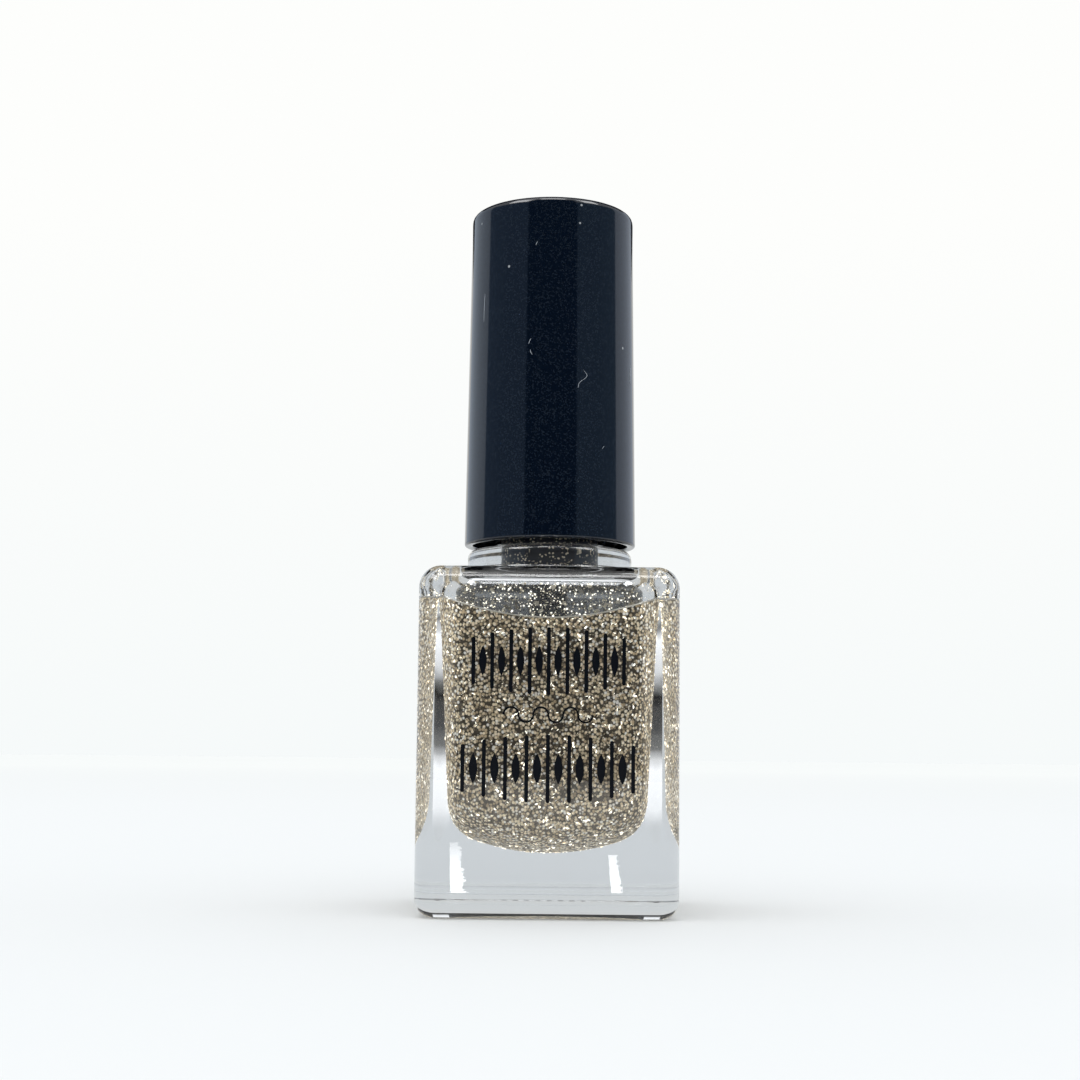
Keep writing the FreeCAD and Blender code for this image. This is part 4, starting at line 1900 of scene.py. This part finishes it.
@dataclass
class Studio:
    """The pale floor, the bright surroundings, the lamp, the staged panels and the camera."""

    target: Vector = field(default_factory=lambda: Vector((0.0, 0.0, 15.33 * MM)))
    distance: float = 175 * MM
    picture_scale: float = 9.857 / MM
    picture_size: float = 1080.0
    aim_rise: float = 170.0
    aim_side: float = 9.5
    frame_rise: float = 45.0
    roll: float = 0.57
    horizon: COLOUR = (0.925, 0.955, 0.955)
    overhead: COLOUR = (0.985, 0.990, 0.975)

    def build_floor(self) -> bpy.types.Object:
        """Builds a wide flat disc under the bottle.

        Returns:
            The floor.
        """
        angle = around(96)
        rings = np.stack([ring(r, 0.0, angle) for r in (6.0, 1.5, 0.4, 0.1, 0.02)])
        floor = surface_mesh("floor", rings[::-1], True, False)
        if floor.data.polygons[0].normal.z < 0:
            floor.data.flip_normals()
        floor.data.materials.append(FloorFinish().material())
        return floor

    def build_world(self) -> None:
        """Lights the scene from all round, a little brighter overhead than at the horizon."""
        world = bpy.data.worlds.new("studio")
        bpy.context.scene.world = world
        world.use_nodes = True
        sky = Nodes(world.node_tree)
        up = sky.parts(sky.node("ShaderNodeTexCoord", out="Generated"))[2]
        colour = sky.ramp(up, [(0.0, self.horizon), (0.3, self.overhead)])
        sky.tree.links.new(colour.socket, sky.tree.nodes["Background"].inputs["Color"])

    def build_lamp(self) -> None:
        """Hangs a wide soft lamp above."""
        light = bpy.data.lights.new("lamp_top", "AREA")
        light.shape = "RECTANGLE"
        light.size, light.size_y = 0.9, 0.5
        light.energy = 1.2
        lamp = bpy.data.objects.new("lamp_top", light)
        lamp.location = (-0.1, -0.25, 0.9)
        lamp.rotation_euler = (self.target - lamp.location).to_track_quat("-Z", "Y").to_euler()
        bpy.context.scene.collection.objects.link(lamp)

    def build_surroundings(self) -> None:
        """Stands panels round the bottle and cards above it, and lays out the ribbons and the strips."""
        for panel in (
            Panel("panel_front", -35, 35, 1.05, BLACK),
            Panel("panel_left", -100, -35, 0.62, (0.15, 0.21, 0.30)),
            Panel("panel_right", 35, 100, 0.62, (0.14, 0.20, 0.27)),
            Panel("panel_back_left", -152, -100, 0.62, (0.72, 0.82, 0.95)),
            Panel("panel_back_right", 100, 152, 0.62, (0.74, 0.82, 0.95)),
        ):
            panel.build()
        for card in (
            Card("card_high_left", (-0.62, -0.42, 0.86), 0.50, 0.40, 9.0),
            Card("card_high_right", (0.66, -0.34, 0.86), 0.42, 0.40, 9.0),
            Card("card_high_front", (0.0, -0.62, 1.30), 0.60, 0.34, 8.0),
            Card("card_dark_back", (0.0, 0.62, 0.75), 1.6, 1.1, 0.03),
        ):
            card.build(self.target)
        Streak("streak_left", (-8.8, -24.0, 0.85), (-15.9, -150.0, 0.85)).build()
        Streak("streak_right", (7.4, -34.0, 0.6), (10.1, -117.0, 0.7)).build()
        Backdrop("backdrop_left", -16.0 * MM, -10.1 * MM).build()
        Backdrop("backdrop_right", 10.1 * MM, 16.0 * MM).build()

    def build_camera(self) -> bpy.types.Object:
        """Sets up the camera level with the lower body, tipped up to hold the whole bottle.

        Returns:
            The camera.
        """
        data = bpy.data.cameras.new("camera")
        focal = self.picture_scale * self.distance
        data.sensor_width = 36.0
        data.lens = focal / self.picture_size * data.sensor_width
        data.shift_y = self.frame_rise / self.picture_size
        data.clip_start = 0.01
        data.clip_end = 50.0
        camera = bpy.data.objects.new("camera", data)
        camera.location = self.target + Vector((0.0, -self.distance, 0.0))
        rise = math.atan(self.aim_rise / focal)
        side = math.atan(self.aim_side / focal)
        camera.rotation_euler = Euler((math.pi / 2 + rise, 0.0, 0.0), "XYZ")
        turn = Euler((0.0, 0.0, side), "XYZ").to_matrix() @ camera.rotation_euler.to_matrix()
        roll = Euler((0.0, 0.0, math.radians(self.roll)), "XYZ").to_matrix()
        camera.rotation_euler = (turn @ roll).to_euler()
        bpy.context.scene.collection.objects.link(camera)
        bpy.context.scene.camera = camera
        return camera

    def build(self) -> None:
        """Builds everything round the bottle."""
        self.build_floor()
        self.build_world()
        self.build_lamp()
        self.build_surroundings()
        self.build_camera()
        view = bpy.context.scene.view_settings
        view.view_transform = "Standard"
        view.look = "None"


def main() -> None:
    """Builds the bottle's pieces in order, then the studio."""
    logging.basicConfig(level=logging.INFO, format="%(name)s: %(message)s")
    glass = GlassBottle()
    glass.build()
    polish = Polish(glass.cavity, glass.lip_z, glass.bore_radius)
    flake = FlakeFinish().material()
    polish.build_body()
    polish.build_flakes(flake)
    polish.build_film(flake)
    cap = Cap()
    cap.build_overcap()
    cap.build_lint()
    cap.build_inner(glass.thread, glass.neck_radius)
    brush = Brush()
    brush.build_stem()
    brush.build_bristles()
    brush.build_load(polish, flake)
    brush.build_liner()
    steel = MetalFinish("ball_steel", (0.78, 0.78, 0.79), 0.08).material()
    for node, body in (("mixing_ball_1", Body.BALL_1), ("mixing_ball_2", Body.BALL_2)):
        MixingBall(node, body).build(steel)
    Trim().dress_all()
    Studio().build()


if __name__ == "__main__":
    main()
